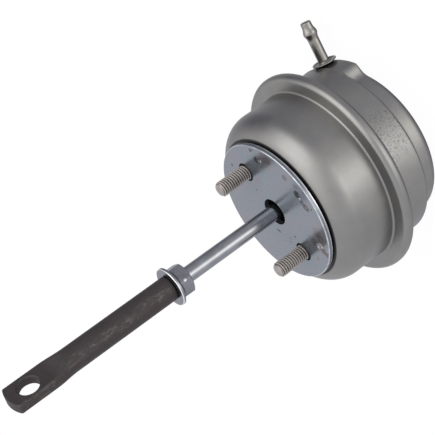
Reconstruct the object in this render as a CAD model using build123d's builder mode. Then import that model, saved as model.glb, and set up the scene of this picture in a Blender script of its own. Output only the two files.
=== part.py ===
"""Wastegate actuator: a two-shell pressure can with a sprung diaphragm, a rod and a flattened eye end.

Frame: the origin is the centre of the mounting plate's front face.
+Z runs along the rod towards the eye, +X runs from one mounting stud to the other.
Sizes are in millimetres and angles in degrees.
"""
from build123d import *
from math import cos, pi, radians, sin
import os

os.makedirs("parts", exist_ok=True)

# Rod
rod_radius = 3.0
rod_neck_radius = 2.5
rod_collar_width = 2.5
rod_collar_thickness = 2.0
rod_tip_z = 68.0
rod_tip_chamfer = 0.6
thread_clearance = 0.05

# Mounting plate and studs
plate_margin = 10.5
plate_thickness = 2.0
plate_edge_round = 0.4
rod_hole_clearance = 2.5
stud_spacing = 36.0
stud_radius = 3.0
stud_projection = 13.2
stud_tip_chamfer = 0.7
stud_hole_clearance = 0.8
stud_shoulder_width = 0.3
stud_relief_depth = 0.45
weld_mark_margin = 5.3
weld_mark_middle_angle = 88.0
weld_mark_step_angle = 54.0
weld_mark_radius = 1.3
weld_mark_depth = 0.5

# Shells of the can
sheet = 0.9
wall_spring_gap = 9.9
nose_round = 9.5
nose_hole_clearance = 1.0
shell_stud_clearance = 0.05
front_depth = 23.3
flange_flat_width = 2.9
groove_side_width = 1.4
groove_depth = 1.0
rim_width = 2.2
rim_round = 1.5
rim_lip_width = 3.2
wall_to_rim_round = 2.0
groove_round = 2.4
rear_depth = 23.5
rear_step_height = 9.6
rear_step_width = 4.0
rear_edge_round = 3.9
step_outer_round = 1.4
step_inner_round = 1.0
rear_flange_clearance = 0.7
rear_flange_round = 1.0

# Raised seat for the hose nipple on the rear shell
seat_angle = 160.8
seat_half_width = 14.0
seat_rear_height = 1.7
seat_step_overlap = 3.9
seat_root_depth = 7.5
seat_side_round = 2.0
seat_rear_round = 1.5

# Hose nipple and its collar
nipple_height = 6.3
nipple_radius = 2.15
nipple_wall = 0.85
nipple_insertion = 1.7
nipple_length = 17.7
nipple_bead_rise = 0.35
nipple_bead_setback = 4.4
nipple_bead_half_length = 2.1
nipple_tip_step = 0.1
nipple_tip_round = 0.3
collar_width = 2.65
collar_thickness = 0.6
collar_rise = 0.9
collar_foot_width = 0.85
collar_fillet_height = 1.5

# Diaphragm and the pieces clamped to it
rear_stop_gap = 0.4
rivet_head_height = 1.5
rivet_head_radius = 4.6
rivet_head_round = 1.0
rivet_washer_thickness = 0.8
rivet_washer_margin = 1.9
diaphragm_thickness = 1.0
diaphragm_wall_gap = 1.0
diaphragm_flank_width = 5.0
diaphragm_bottom_round = 3.0
diaphragm_shoulder_round = 1.5
diaphragm_bead_gap = 0.2
diaphragm_bead_width = 0.95
diaphragm_bead_height = 1.6
diaphragm_bead_round = 0.35
retainer_thickness = 1.0
retainer_margin = 7.6
retainer_edge_width = 1.6
retainer_edge_lift = 0.8
retainer_edge_round = 2.0
piston_thickness = 1.0
piston_skirt_gap = 0.35
piston_height = 14.4
piston_bottom_round = 2.5

# Stud carrier, stud heads, spring seat and return spring
carrier_margin = 0.5
carrier_thickness = 2.0
carrier_hole_clearance = 1.5
stud_head_width = 1.2
stud_head_thickness = 2.0
stud_head_chamfer = 0.3
seat_ring_thickness = 0.8
seat_ring_gap = 0.5
seat_ring_lip_depth = 4.2
seat_ring_round = 1.1
spring_head_gap = 0.4
spring_wire_radius = 1.5
spring_turns = 6.0
spring_end_sink = 0.5

# Lock nut
nut_place_z = 43.3
nut_height = 6.9
nut_across_flats = 11.0
nut_corner_angle = 21.0
nut_hex_chamfer_width = 0.1
nut_hex_chamfer_slope = 0.58
nut_cone_height = 2.8
nut_cone_top_width = 2.0
nut_flange_width = 4.6
nut_flange_thickness = 1.0
nut_edge_round = 0.35

# Eye end
nut_face_gap = 0.1
bar_wall = 1.75
bar_edge_chamfer = 0.5
bar_bore_overrun = 4.0
bar_round_length = 44.2
bar_drawn_length = 9.0
blade_width = 12.0
blade_thickness = 4.0
blade_edge_round = 1.1
blade_tip_rise = 1.6
blade_angle = 46.0
eye_offset = 7.6
eye_tip_margin = 8.5
eye_radius = 4.0
eye_chamfer = 0.5

# Radii that follow from the rod and the studs outwards
rod_collar_radius = rod_radius + rod_collar_width
rod_hole_radius = rod_radius + rod_hole_clearance
nose_hole_radius = rod_hole_radius + nose_hole_clearance
carrier_hole_radius = nose_hole_radius + carrier_hole_clearance
plate_radius = stud_spacing / 2 + plate_margin
stud_hole_radius = stud_radius + stud_hole_clearance
stud_shoulder_radius = stud_radius + stud_shoulder_width
stud_relief_radius = stud_radius - stud_relief_depth
stud_head_radius = stud_radius + stud_head_width
seat_ring_inner_radius = stud_spacing / 2 + stud_head_radius + spring_head_gap
spring_mean_radius = seat_ring_inner_radius + spring_wire_radius
seat_ring_lip_radius = spring_mean_radius + spring_wire_radius + seat_ring_gap + seat_ring_thickness
wall_radius = spring_mean_radius + spring_wire_radius + wall_spring_gap
carrier_radius = wall_radius - nose_round - carrier_margin
weld_mark_circle_radius = plate_radius - weld_mark_margin
groove_inner_radius = wall_radius + flange_flat_width
groove_outer_radius = groove_inner_radius + groove_side_width
rim_radius = groove_outer_radius + rim_width
rim_lip_inner_radius = rim_radius - rim_lip_width
rear_flange_radius = rim_radius - sheet - rear_flange_clearance
rear_radius = wall_radius - rear_step_width
seat_root_radius = rear_radius - seat_root_depth
nipple_inner_end = wall_radius - nipple_insertion
nipple_outer_end = wall_radius + nipple_length
nipple_bead_centre = nipple_outer_end - nipple_bead_setback
nipple_bead_radius = nipple_radius + nipple_bead_rise
nipple_bore_radius = nipple_radius - nipple_wall
nipple_tip_radius = nipple_radius - nipple_tip_step
collar_radius = nipple_radius + collar_width
collar_foot_radius = nipple_radius + collar_foot_width
diaphragm_bead_radius = rim_radius - sheet - diaphragm_bead_gap
diaphragm_bead_inner_radius = diaphragm_bead_radius - diaphragm_bead_width
diaphragm_shoulder_radius = wall_radius - sheet - diaphragm_wall_gap
diaphragm_bottom_radius = diaphragm_shoulder_radius - diaphragm_flank_width
retainer_radius = diaphragm_bottom_radius - retainer_margin
retainer_flat_radius = retainer_radius - retainer_edge_width
rivet_washer_radius = rivet_head_radius + rivet_washer_margin
nut_corner_radius = nut_across_flats / 2 / cos(pi / 6)
nut_hex_chamfer_radius = nut_across_flats / 2 - nut_hex_chamfer_width
nut_cone_top_radius = rod_radius + nut_cone_top_width
nut_flange_radius = rod_radius + nut_flange_width
bar_radius = rod_radius + bar_wall

# Levels that follow from the stack along the axis
nose_z = -plate_thickness
nose_inner_z = nose_z - sheet
carrier_face_z = nose_inner_z - carrier_thickness
seat_face_z = carrier_face_z - seat_ring_thickness
rim_front_z = nose_z - front_depth
groove_z = rim_front_z - groove_depth
flange_inner_z = groove_z - sheet
rear_flange_front_z = flange_inner_z - diaphragm_thickness
rear_flange_back_z = rear_flange_front_z - sheet
rim_back_z = rear_flange_back_z - sheet
rear_face_z = rim_back_z - rear_depth
rear_inner_z = rear_face_z + sheet
rear_step_z = rear_face_z + rear_step_height
seat_rear_z = rear_face_z + seat_rear_height
seat_top_z = rear_step_z + seat_step_overlap
nipple_z = rear_face_z + nipple_height
rivet_back_z = rear_inner_z + rear_stop_gap
rivet_washer_back_z = rivet_back_z + rivet_head_height
retainer_back_z = rivet_washer_back_z + rivet_washer_thickness
diaphragm_back_z = retainer_back_z + retainer_thickness
piston_back_z = diaphragm_back_z + diaphragm_thickness
piston_face_z = piston_back_z + piston_thickness
piston_top_z = piston_back_z + piston_height
nut_face_z = nut_place_z + nut_height
nut_flange_z = nut_face_z - nut_flange_thickness
nut_cone_top_z = nut_face_z - nut_cone_height
bar_start_z = nut_face_z + nut_face_gap
bar_bore_end_z = rod_tip_z + bar_bore_overrun
bar_round_end_z = bar_start_z + bar_round_length
blade_start_z = bar_round_end_z + bar_drawn_length
eye_z = blade_start_z + eye_offset
blade_tip_z = eye_z + eye_tip_margin
blade_corner_z = blade_tip_z - blade_tip_rise

# Directions of the nipple and of the blade
nipple_direction = (cos(radians(seat_angle)), sin(radians(seat_angle)), 0)
nipple_axis = Axis((0, 0, nipple_z), nipple_direction)
nipple_base = Plane(origin=(0, 0, nipple_z), x_dir=(0, 0, 1), z_dir=nipple_direction)
nipple_section = Plane(origin=(0, 0, nipple_z), x_dir=nipple_direction, z_dir=nipple_base.y_dir)
blade_direction = (cos(radians(blade_angle)), sin(radians(blade_angle)), 0)
blade_normal = (-sin(radians(blade_angle)), cos(radians(blade_angle)), 0)
blade_plane = Plane(origin=(0, 0, 0), x_dir=tuple(-part for part in blade_direction), z_dir=blade_normal)


def corner_at(outline, x, y):
    """Corner of an outline nearest to a point of its own plane."""
    return outline.vertices().sort_by_distance((x, y, 0))[0]


def sheet_section(points, radii, thickness, side):
    """Section of a bent sheet: its face line with rounded bends, thickened to one side."""
    with BuildSketch() as section:
        with BuildLine() as face_line:
            Polyline(*points)
            for corner, radius in zip(points[1:-1], radii):
                fillet(corner_at(face_line, *corner), radius)
            offset(amount=thickness, side=side)
        make_face()
    return section.sketch


def nipple_seat(inset):
    """Raised seat for the nipple, drawn in from its outer surface by the inset."""
    with BuildPart() as block:
        with BuildSketch(Plane.XY.offset(seat_rear_z + inset).rotated((0, 0, seat_angle))):
            Circle(wall_radius - inset)
            with Locations(((seat_root_radius + wall_radius) / 2, 0)):
                Rectangle(wall_radius - seat_root_radius, 2 * (seat_half_width - inset), mode=Mode.INTERSECT)
        extrude(amount=seat_top_z - seat_rear_z - inset)
        fillet(block.edges().filter_by(Axis.Z).sort_by(radial_distance)[-2:], seat_side_round - inset)
        rear_rim = block.faces().sort_by(Axis.Z)[0].edges().sort_by(radial_distance)[1:]
        fillet(rear_rim, seat_rear_round - inset)
    return block.part


def radial_distance(edge):
    """Distance of an edge's middle from the can's axis."""
    return (edge @ 0.5).X ** 2 + (edge @ 0.5).Y ** 2


# Front shell: nose, wall, grooved flange and the rim rolled round the rear shell's flange
with BuildPart() as front_can:
    with BuildSketch(Plane.XZ):
        add(
            sheet_section(
                [
                    (nose_hole_radius, nose_z),
                    (wall_radius, nose_z),
                    (wall_radius, groove_z),
                    (groove_inner_radius, groove_z),
                    (groove_outer_radius, rim_front_z),
                    (rim_radius, rim_front_z),
                    (rim_radius, rim_back_z),
                    (rim_lip_inner_radius, rim_back_z),
                ],
                [nose_round, wall_to_rim_round, groove_round, rim_round, rim_round, rim_round],
                sheet,
                Side.RIGHT,
            )
        )
    revolve(axis=Axis.Z)
    with BuildSketch(Plane.XY.offset(nose_z)):
        with GridLocations(stud_spacing, 0, 2, 1):
            Circle(stud_shoulder_radius + shell_stud_clearance)
    extrude(amount=-sheet, mode=Mode.SUBTRACT)
front_can.part.label = "front_can"
export_step(front_can.part, "parts/front_can.step")

# Rear shell: flange, wall, step to the smaller closed end, and the raised nipple seat
with BuildPart() as rear_can:
    with BuildSketch(Plane.XZ) as rear_outline:
        with BuildLine():
            Polyline(
                (0, rear_face_z),
                (rear_radius, rear_face_z),
                (rear_radius, rear_step_z),
                (wall_radius, rear_step_z),
                (wall_radius, rear_flange_back_z),
                (rear_flange_radius, rear_flange_back_z),
                (rear_flange_radius, rear_flange_front_z),
                (0, rear_flange_front_z),
                close=True,
            )
        make_face()
        fillet(corner_at(rear_outline, rear_radius, rear_face_z), rear_edge_round)
        fillet(corner_at(rear_outline, rear_radius, rear_step_z), step_inner_round)
        fillet(corner_at(rear_outline, wall_radius, rear_step_z), step_outer_round)
        fillet(corner_at(rear_outline, wall_radius, rear_flange_back_z), rear_flange_round)
    revolve(axis=Axis.Z)
    add(nipple_seat(0))
    with BuildSketch(Plane.XZ) as rear_hollow:
        with BuildLine():
            Polyline(
                (0, rear_inner_z),
                (rear_radius - sheet, rear_inner_z),
                (rear_radius - sheet, rear_step_z + sheet),
                (wall_radius - sheet, rear_step_z + sheet),
                (wall_radius - sheet, rear_flange_front_z),
                (rear_flange_radius - sheet, rear_flange_front_z),
                (rear_flange_radius - sheet, flange_inner_z),
                (0, flange_inner_z),
                close=True,
            )
        make_face()
        fillet(corner_at(rear_hollow, rear_radius - sheet, rear_inner_z), rear_edge_round - sheet)
        fillet(corner_at(rear_hollow, rear_radius - sheet, rear_step_z + sheet), step_inner_round + sheet)
        fillet(corner_at(rear_hollow, wall_radius - sheet, rear_step_z + sheet), step_outer_round - sheet)
        fillet(corner_at(rear_hollow, wall_radius - sheet, rear_flange_front_z), rear_flange_round + sheet)
    revolve(axis=Axis.Z, mode=Mode.SUBTRACT)
    add(nipple_seat(sheet), mode=Mode.SUBTRACT)
    with BuildSketch(nipple_base):
        Circle(nipple_radius)
    extrude(amount=wall_radius + sheet, mode=Mode.SUBTRACT)
rear_can.part.label = "rear_can"
export_step(rear_can.part, "parts/rear_can.step")

# Flat plate welded to the nose, with clearance holes round the studs and three weld marks
with BuildPart() as mounting_plate:
    with BuildSketch(Plane.XY.offset(nose_z)):
        Circle(plate_radius)
        Circle(rod_hole_radius, mode=Mode.SUBTRACT)
        with GridLocations(stud_spacing, 0, 2, 1):
            Circle(stud_hole_radius, mode=Mode.SUBTRACT)
    extrude(amount=plate_thickness)
    outer_edges = mounting_plate.edges().filter_by(GeomType.CIRCLE).sort_by(lambda edge: edge.radius)[-2:]
    fillet(outer_edges, plate_edge_round)
    weld_mark_sphere = (weld_mark_radius**2 + weld_mark_depth**2) / (2 * weld_mark_depth)
    for step in (-1, 0, 1):
        mark_angle = radians(weld_mark_middle_angle + step * weld_mark_step_angle)
        mark_x = weld_mark_circle_radius * cos(mark_angle)
        mark_y = weld_mark_circle_radius * sin(mark_angle)
        with Locations((mark_x, mark_y, weld_mark_sphere - weld_mark_depth)):
            Sphere(weld_mark_sphere, mode=Mode.SUBTRACT)
mounting_plate.part.label = "mounting_plate"
export_step(mounting_plate.part, "parts/mounting_plate.step")

# Disc inside the nose that carries the two studs
with BuildPart() as stud_carrier:
    with BuildSketch(Plane.XY.offset(carrier_face_z)):
        Circle(carrier_radius)
        Circle(carrier_hole_radius, mode=Mode.SUBTRACT)
        with GridLocations(stud_spacing, 0, 2, 1):
            Circle(stud_shoulder_radius, mode=Mode.SUBTRACT)
    extrude(amount=carrier_thickness)
stud_carrier.part.label = "stud_carrier"
export_step(stud_carrier.part, "parts/stud_carrier.step")

# Studs: flat head behind the carrier, shoulder through the shell, relief in the plate, thread in front
for label, centre_x in (("stud_left", -stud_spacing / 2), ("stud_right", stud_spacing / 2)):
    with BuildPart() as stud:
        with BuildSketch(Plane.XY.offset(carrier_face_z - stud_head_thickness)):
            with Locations((centre_x, 0)):
                Circle(stud_head_radius)
        extrude(amount=stud_head_thickness)
        chamfer(stud.edges().filter_by(GeomType.CIRCLE).sort_by(Axis.Z)[0], stud_head_chamfer)
        with BuildSketch(Plane.XY.offset(carrier_face_z)):
            with Locations((centre_x, 0)):
                Circle(stud_shoulder_radius)
        extrude(amount=nose_z - carrier_face_z)
        with BuildSketch(Plane.XY.offset(nose_z)):
            with Locations((centre_x, 0)):
                Circle(stud_relief_radius)
        extrude(amount=plate_thickness)
        with BuildSketch():
            with Locations((centre_x, 0)):
                Circle(stud_radius)
        extrude(amount=stud_projection)
        chamfer(stud.edges().filter_by(GeomType.CIRCLE).sort_by(Axis.Z)[-1], stud_tip_chamfer)
    stud.part.label = label
    export_step(stud.part, f"parts/{label}.step")

# Cupped ring that centres the front end of the spring
with BuildPart() as spring_seat:
    with BuildSketch(Plane.XZ):
        add(
            sheet_section(
                [
                    (seat_ring_inner_radius, carrier_face_z),
                    (seat_ring_lip_radius, carrier_face_z),
                    (seat_ring_lip_radius, carrier_face_z - seat_ring_lip_depth),
                ],
                [seat_ring_round],
                seat_ring_thickness,
                Side.RIGHT,
            )
        )
    revolve(axis=Axis.Z)
spring_seat.part.label = "spring_seat"
export_step(spring_seat.part, "parts/spring_seat.step")

# Return spring with ground ends, between the seat ring and the piston
with BuildPart() as return_spring:
    spring_length = seat_face_z - piston_face_z
    coil_height = spring_length - 2 * spring_end_sink
    coil = Helix(
        pitch=coil_height / spring_turns,
        height=coil_height,
        radius=spring_mean_radius,
        center=(0, 0, piston_face_z + spring_end_sink),
    )
    with BuildSketch(Plane(origin=coil @ 0, z_dir=coil % 0)):
        Circle(spring_wire_radius)
    sweep(path=coil, is_frenet=True)
    with BuildSketch(Plane.XY.offset(piston_face_z)):
        Circle(wall_radius)
    extrude(amount=spring_length, mode=Mode.INTERSECT)
return_spring.part.label = "return_spring"
export_step(return_spring.part, "parts/return_spring.step")

# Rubber diaphragm: clamped rim with its bead, flank and centre disc
with BuildPart() as diaphragm:
    with BuildSketch(Plane.XZ):
        add(
            sheet_section(
                [
                    (rod_neck_radius, diaphragm_back_z),
                    (diaphragm_bottom_radius, diaphragm_back_z),
                    (diaphragm_shoulder_radius, rear_flange_front_z),
                    (diaphragm_bead_radius, rear_flange_front_z),
                ],
                [diaphragm_bottom_round, diaphragm_shoulder_round],
                diaphragm_thickness,
                Side.LEFT,
            )
        )
    revolve(axis=Axis.Z)
    with BuildSketch(Plane.XY.offset(rear_flange_front_z)):
        Circle(diaphragm_bead_radius)
        Circle(diaphragm_bead_inner_radius, mode=Mode.SUBTRACT)
    extrude(amount=diaphragm_bead_height)
    bead_top = diaphragm.faces().sort_by(Axis.Z)[-1]
    fillet(bead_top.edges(), diaphragm_bead_round)
diaphragm.part.label = "diaphragm"
export_step(diaphragm.part, "parts/diaphragm.step")

# Pressed piston cup that holds the rear end of the spring
with BuildPart() as piston:
    flank_height = rear_flange_front_z - diaphragm_back_z
    flank_slope = (diaphragm_shoulder_radius - diaphragm_bottom_radius) / flank_height
    flank_shift = (diaphragm_thickness + piston_skirt_gap) * (1 + flank_slope**2) ** 0.5
    piston_bottom_radius = diaphragm_bottom_radius + flank_slope * diaphragm_thickness - flank_shift
    piston_top_radius = piston_bottom_radius + flank_slope * (piston_top_z - piston_back_z)
    with BuildSketch(Plane.XZ):
        add(
            sheet_section(
                [
                    (rod_neck_radius, piston_back_z),
                    (piston_bottom_radius, piston_back_z),
                    (piston_top_radius, piston_top_z),
                ],
                [piston_bottom_round],
                piston_thickness,
                Side.LEFT,
            )
        )
    revolve(axis=Axis.Z)
piston.part.label = "piston"
export_step(piston.part, "parts/piston.step")

# Plate that clamps the rubber against the piston, its edge turned away from the rubber
with BuildPart() as retainer:
    with BuildSketch(Plane.XZ):
        add(
            sheet_section(
                [
                    (rod_neck_radius, retainer_back_z),
                    (retainer_flat_radius, retainer_back_z),
                    (retainer_radius, retainer_back_z - retainer_edge_lift),
                ],
                [retainer_edge_round],
                retainer_thickness,
                Side.LEFT,
            )
        )
    revolve(axis=Axis.Z)
retainer.part.label = "retainer"
export_step(retainer.part, "parts/retainer.step")

# Washer under the riveted end of the rod
with BuildPart() as rivet_washer:
    with BuildSketch(Plane.XY.offset(rivet_washer_back_z)):
        Circle(rivet_washer_radius)
        Circle(rod_neck_radius, mode=Mode.SUBTRACT)
    extrude(amount=rivet_washer_thickness)
rivet_washer.part.label = "rivet_washer"
export_step(rivet_washer.part, "parts/rivet_washer.step")

# Rod: riveted head, clamped neck, collar, plain shank and threaded front end
with BuildPart() as actuator_rod:
    with BuildSketch(Plane.XY.offset(rivet_back_z)):
        Circle(rivet_head_radius)
    extrude(amount=rivet_head_height)
    fillet(actuator_rod.edges().filter_by(GeomType.CIRCLE).sort_by(Axis.Z)[0], rivet_head_round)
    with BuildSketch(Plane.XY.offset(rivet_washer_back_z)):
        Circle(rod_neck_radius)
    extrude(amount=piston_face_z - rivet_washer_back_z)
    with BuildSketch(Plane.XY.offset(piston_face_z)):
        Circle(rod_collar_radius)
    extrude(amount=rod_collar_thickness)
    with BuildSketch(Plane.XY.offset(piston_face_z + rod_collar_thickness)):
        Circle(rod_radius)
    extrude(amount=rod_tip_z - piston_face_z - rod_collar_thickness)
    chamfer(actuator_rod.edges().filter_by(GeomType.CIRCLE).sort_by(Axis.Z)[-1], rod_tip_chamfer)
actuator_rod.part.label = "actuator_rod"
export_step(actuator_rod.part, "parts/actuator_rod.step")

# Hexagon nut with a conical flange that locks the eye end on the rod
with BuildPart() as lock_nut:
    nut_chamfer_height = (nut_flange_radius - nut_hex_chamfer_radius) * nut_hex_chamfer_slope
    with BuildSketch(Plane.XY.offset(nut_place_z)):
        RegularPolygon(nut_corner_radius, 6, rotation=nut_corner_angle)
    extrude(amount=nut_flange_z - nut_place_z)
    with BuildSketch(Plane.XZ):
        with BuildLine():
            Polyline(
                (0, nut_place_z),
                (nut_hex_chamfer_radius, nut_place_z),
                (nut_flange_radius, nut_place_z + nut_chamfer_height),
                (nut_flange_radius, nut_flange_z),
                (0, nut_flange_z),
                close=True,
            )
        make_face()
    revolve(axis=Axis.Z, mode=Mode.INTERSECT)
    with BuildSketch(Plane.XZ) as flange_section:
        with BuildLine():
            Polyline(
                (0, nut_cone_top_z),
                (nut_cone_top_radius, nut_cone_top_z),
                (nut_flange_radius, nut_flange_z),
                (nut_flange_radius, nut_face_z),
                (0, nut_face_z),
                close=True,
            )
        make_face()
        fillet(corner_at(flange_section, nut_flange_radius, nut_flange_z), nut_edge_round)
        fillet(corner_at(flange_section, nut_flange_radius, nut_face_z), nut_edge_round)
    revolve(axis=Axis.Z)
    with BuildSketch(Plane.XY.offset(nut_place_z)):
        Circle(rod_radius + thread_clearance)
    extrude(amount=nut_face_z - nut_place_z, mode=Mode.SUBTRACT)
lock_nut.part.label = "lock_nut"
export_step(lock_nut.part, "parts/lock_nut.step")

# Eye end: round threaded bar drawn down to a flat blade with a rounded tip and an eye
with BuildPart() as rod_end:
    with BuildSketch(Plane.XY.offset(bar_start_z)):
        Circle(bar_radius)
    extrude(amount=bar_round_end_z - bar_start_z)
    chamfer(rod_end.edges().filter_by(GeomType.CIRCLE).sort_by(Axis.Z)[0], bar_edge_chamfer)
    with BuildSketch(Plane.XY.offset(bar_round_end_z)):
        Circle(bar_radius)
    with BuildSketch(Plane.XY.offset(blade_start_z).rotated((0, 0, blade_angle))):
        RectangleRounded(blade_width, blade_thickness, blade_edge_round)
    loft()
    with BuildSketch(Plane.XY.offset(blade_start_z).rotated((0, 0, blade_angle))):
        RectangleRounded(blade_width, blade_thickness, blade_edge_round)
    extrude(amount=blade_tip_z - blade_start_z)
    with BuildSketch(blade_plane):
        with BuildLine():
            ThreePointArc(
                (-blade_width / 2, blade_corner_z),
                (0, blade_tip_z),
                (blade_width / 2, blade_corner_z),
            )
            Polyline(
                (blade_width / 2, blade_corner_z),
                (blade_width, blade_corner_z),
                (blade_width, blade_tip_z + blade_thickness),
                (-blade_width, blade_tip_z + blade_thickness),
                (-blade_width, blade_corner_z),
                (-blade_width / 2, blade_corner_z),
            )
        make_face()
    extrude(amount=blade_thickness, both=True, mode=Mode.SUBTRACT)
    with BuildSketch(blade_plane):
        with Locations((0, eye_z)):
            Circle(eye_radius)
    extrude(amount=blade_thickness, both=True, mode=Mode.SUBTRACT)
    blade_circles = rod_end.edges().filter_by(GeomType.CIRCLE).sort_by(Axis.Z)
    eye_edges = [edge for edge in blade_circles if abs(edge.radius - eye_radius) < 0.01]
    chamfer(eye_edges, eye_chamfer)
    with BuildSketch(Plane.XY.offset(bar_start_z)):
        Circle(rod_radius + thread_clearance)
    extrude(amount=bar_bore_end_z - bar_start_z, mode=Mode.SUBTRACT)
rod_end.part.label = "rod_end"
export_step(rod_end.part, "parts/rod_end.step")

# Hose nipple: tube with a bead near its open tip
with BuildPart() as hose_nipple:
    with BuildSketch(nipple_section) as tube_section:
        with BuildLine():
            Polyline(
                (nipple_bead_centre - nipple_bead_half_length, nipple_radius),
                (nipple_inner_end, nipple_radius),
                (nipple_inner_end, nipple_bore_radius),
                (nipple_outer_end, nipple_bore_radius),
                (nipple_outer_end, nipple_tip_radius),
                (nipple_bead_centre + nipple_bead_half_length, nipple_tip_radius),
            )
            ThreePointArc(
                (nipple_bead_centre + nipple_bead_half_length, nipple_tip_radius),
                (nipple_bead_centre, nipple_bead_radius),
                (nipple_bead_centre - nipple_bead_half_length, nipple_radius),
            )
        make_face()
        fillet(corner_at(tube_section, nipple_outer_end, nipple_tip_radius), nipple_tip_round)
    revolve(axis=nipple_axis)
hose_nipple.part.label = "hose_nipple"
export_step(hose_nipple.part, "parts/hose_nipple.step")

# Dished collar brazed round the foot of the nipple
with BuildPart() as nipple_collar:
    with BuildSketch(nipple_section):
        with BuildLine():
            Polyline(
                (wall_radius, nipple_radius),
                (wall_radius, collar_foot_radius),
                (wall_radius + collar_rise, collar_radius),
                (wall_radius + collar_rise + collar_thickness, collar_radius),
                (wall_radius + collar_thickness, collar_foot_radius),
                (wall_radius + collar_fillet_height, nipple_radius),
                close=True,
            )
        make_face()
    revolve(axis=nipple_axis)
nipple_collar.part.label = "nipple_collar"
export_step(nipple_collar.part, "parts/nipple_collar.step")
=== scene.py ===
"""Looks of the wastegate actuator: pressed shells, plated plate, studs, rod, lock nut and black eye end.

Lengths in the sub-assemblies are in millimetres in the part's frame, and become metres when a mesh is
made. Lengths in the finishes are in metres, as Object coordinates are. The origin is the centre of the
mounting plate's front face, and +Z runs along the rod towards the eye.
"""
import logging
from dataclasses import dataclass, field
from enum import Enum
from math import cos, pi, radians, sin, tan
from typing import Sequence, Union

import bmesh
import bpy
import numpy as np
from mathutils import Matrix, Vector


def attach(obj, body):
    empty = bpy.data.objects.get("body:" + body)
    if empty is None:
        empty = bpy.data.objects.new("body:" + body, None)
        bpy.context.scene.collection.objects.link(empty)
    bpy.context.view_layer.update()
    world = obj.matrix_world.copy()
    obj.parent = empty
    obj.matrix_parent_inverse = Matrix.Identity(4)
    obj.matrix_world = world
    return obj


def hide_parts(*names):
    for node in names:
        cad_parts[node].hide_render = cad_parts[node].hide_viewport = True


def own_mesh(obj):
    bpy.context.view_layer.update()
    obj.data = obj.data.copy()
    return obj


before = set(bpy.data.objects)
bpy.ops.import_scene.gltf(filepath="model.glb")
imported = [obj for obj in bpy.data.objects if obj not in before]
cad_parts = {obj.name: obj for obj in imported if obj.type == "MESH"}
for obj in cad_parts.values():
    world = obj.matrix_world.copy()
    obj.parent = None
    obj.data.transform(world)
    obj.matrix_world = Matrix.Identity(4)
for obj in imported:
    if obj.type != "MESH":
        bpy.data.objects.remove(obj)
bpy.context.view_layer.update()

log = logging.getLogger("wastegate_actuator")

MM = 0.001
MERGE_DISTANCE = 2e-7
TINY = 1e-6
SHARP_ANGLE = radians(32)
ARC_STEP = radians(6)
RUN_STEP = 0.8
DRILL_COLUMNS = 48

Piece = bpy.types.Object
Node = bpy.types.Node
Socket = bpy.types.NodeSocket
Feed = Union[Socket, float, Sequence[float]]
Pair = tuple[float, float]
Triple = tuple[float, float, float]
Colour = Triple


class Slot(Enum):
    """Material slots of the record that the pieces take their finish from."""

    SHELL = "shell_steel"
    PLATE = "plate_steel"
    STUD = "stud_steel"
    INNER = "inner_steel"
    SPRING = "spring_steel"
    RUBBER = "diaphragm_rubber"
    ROD = "rod_steel"
    NUT = "nut_steel"
    BLACK = "black_steel"
    NIPPLE = "nipple_steel"


class Body(Enum):
    """Bodies that the new pieces ride on."""

    CAN = "can"
    NUT = "nut"
    EYE = "eye"


# Curves and surfaces


def unit(vectors: np.ndarray) -> np.ndarray:
    """Vectors along the last axis, each divided by its length."""
    return vectors / np.linalg.norm(vectors, axis=-1, keepdims=True)


def rounded_path(corners: Sequence[Triple]) -> np.ndarray:
    """Points along straight runs whose corners are rounded.

    Where the path turns by an angle w, a round of radius r touches both runs at r times tan(w / 2) from
    the corner, and its points are the round's centre plus r times the direction swept from one touching
    point to the other. Straight runs are divided evenly.

    Args:
        corners: Each corner's two coordinates and its radius; the first and last radii are ignored.

    Returns:
        The points, one row each, with no point twice.
    """
    places = np.array([corner[:2] for corner in corners], float)
    stretches = []
    run_start = places[0]
    for before, place, after, corner in zip(places, places[1:], places[2:], corners[1:]):
        to_before, to_after = unit(before - place), unit(after - place)
        half_turn = (pi - np.arccos(np.clip(to_before @ to_after, -1, 1))) / 2
        reach = corner[2] * tan(half_turn)
        run_end = place + reach * to_before
        centre = place + unit(to_before + to_after) * corner[2] / cos(half_turn)
        stretches.append(straight_run(run_start, run_end))
        if corner[2] > 0:
            arc_count = max(3, int(np.ceil(2 * half_turn / ARC_STEP)))
            share = np.linspace(0, 1, arc_count + 1)[:-1, None] * 2 * half_turn
            first, last = run_end - centre, place + reach * to_after - centre
            swept = np.sin(2 * half_turn - share) * first + np.sin(share) * last
            stretches.append(centre + swept / sin(2 * half_turn))
        run_start = place + reach * to_after
    stretches.append(straight_run(run_start, places[-1]))
    return np.vstack(stretches + [places[-1:]])


def straight_run(start: np.ndarray, end: np.ndarray) -> np.ndarray:
    """Evenly spaced points from the start up to, and without, the end."""
    count = max(1, int(np.ceil(np.linalg.norm(end - start) / RUN_STEP)))
    return start + np.linspace(0, 1, count + 1)[:-1, None] * (end - start)


def shifted_path(path: np.ndarray, amount: float) -> np.ndarray:
    """Path moved sideways, each point along the normal to the bisector of its two runs.

    Args:
        path: Points, one row each.
        amount: How far it moves to its right, or to its left if negative.

    Returns:
        As many points as the path has.
    """
    runs = unit(np.diff(path, axis=0))
    along = unit(np.vstack([runs[:1], runs[:-1] + runs[1:], runs[-1:]]))
    return path + amount * np.column_stack([along[:, 1], -along[:, 0]])


def smooth_step(value: np.ndarray, low: float, high: float) -> np.ndarray:
    """Zero below the low value, one above the high one, and 3 s^2 - 2 s^3 of the share s between them."""
    share = np.clip((value - low) / (high - low), 0, 1)
    return share * share * (3 - 2 * share)


def soft_min(first: np.ndarray, second: np.ndarray, reach: np.ndarray | float) -> np.ndarray:
    """The smaller value, less overlap squared over 4 reach, where overlap is reach less the difference."""
    overlap = np.maximum(reach - np.abs(first - second), 0)
    return np.minimum(first, second) - overlap**2 / (4 * np.maximum(reach, 1e-9))


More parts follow.
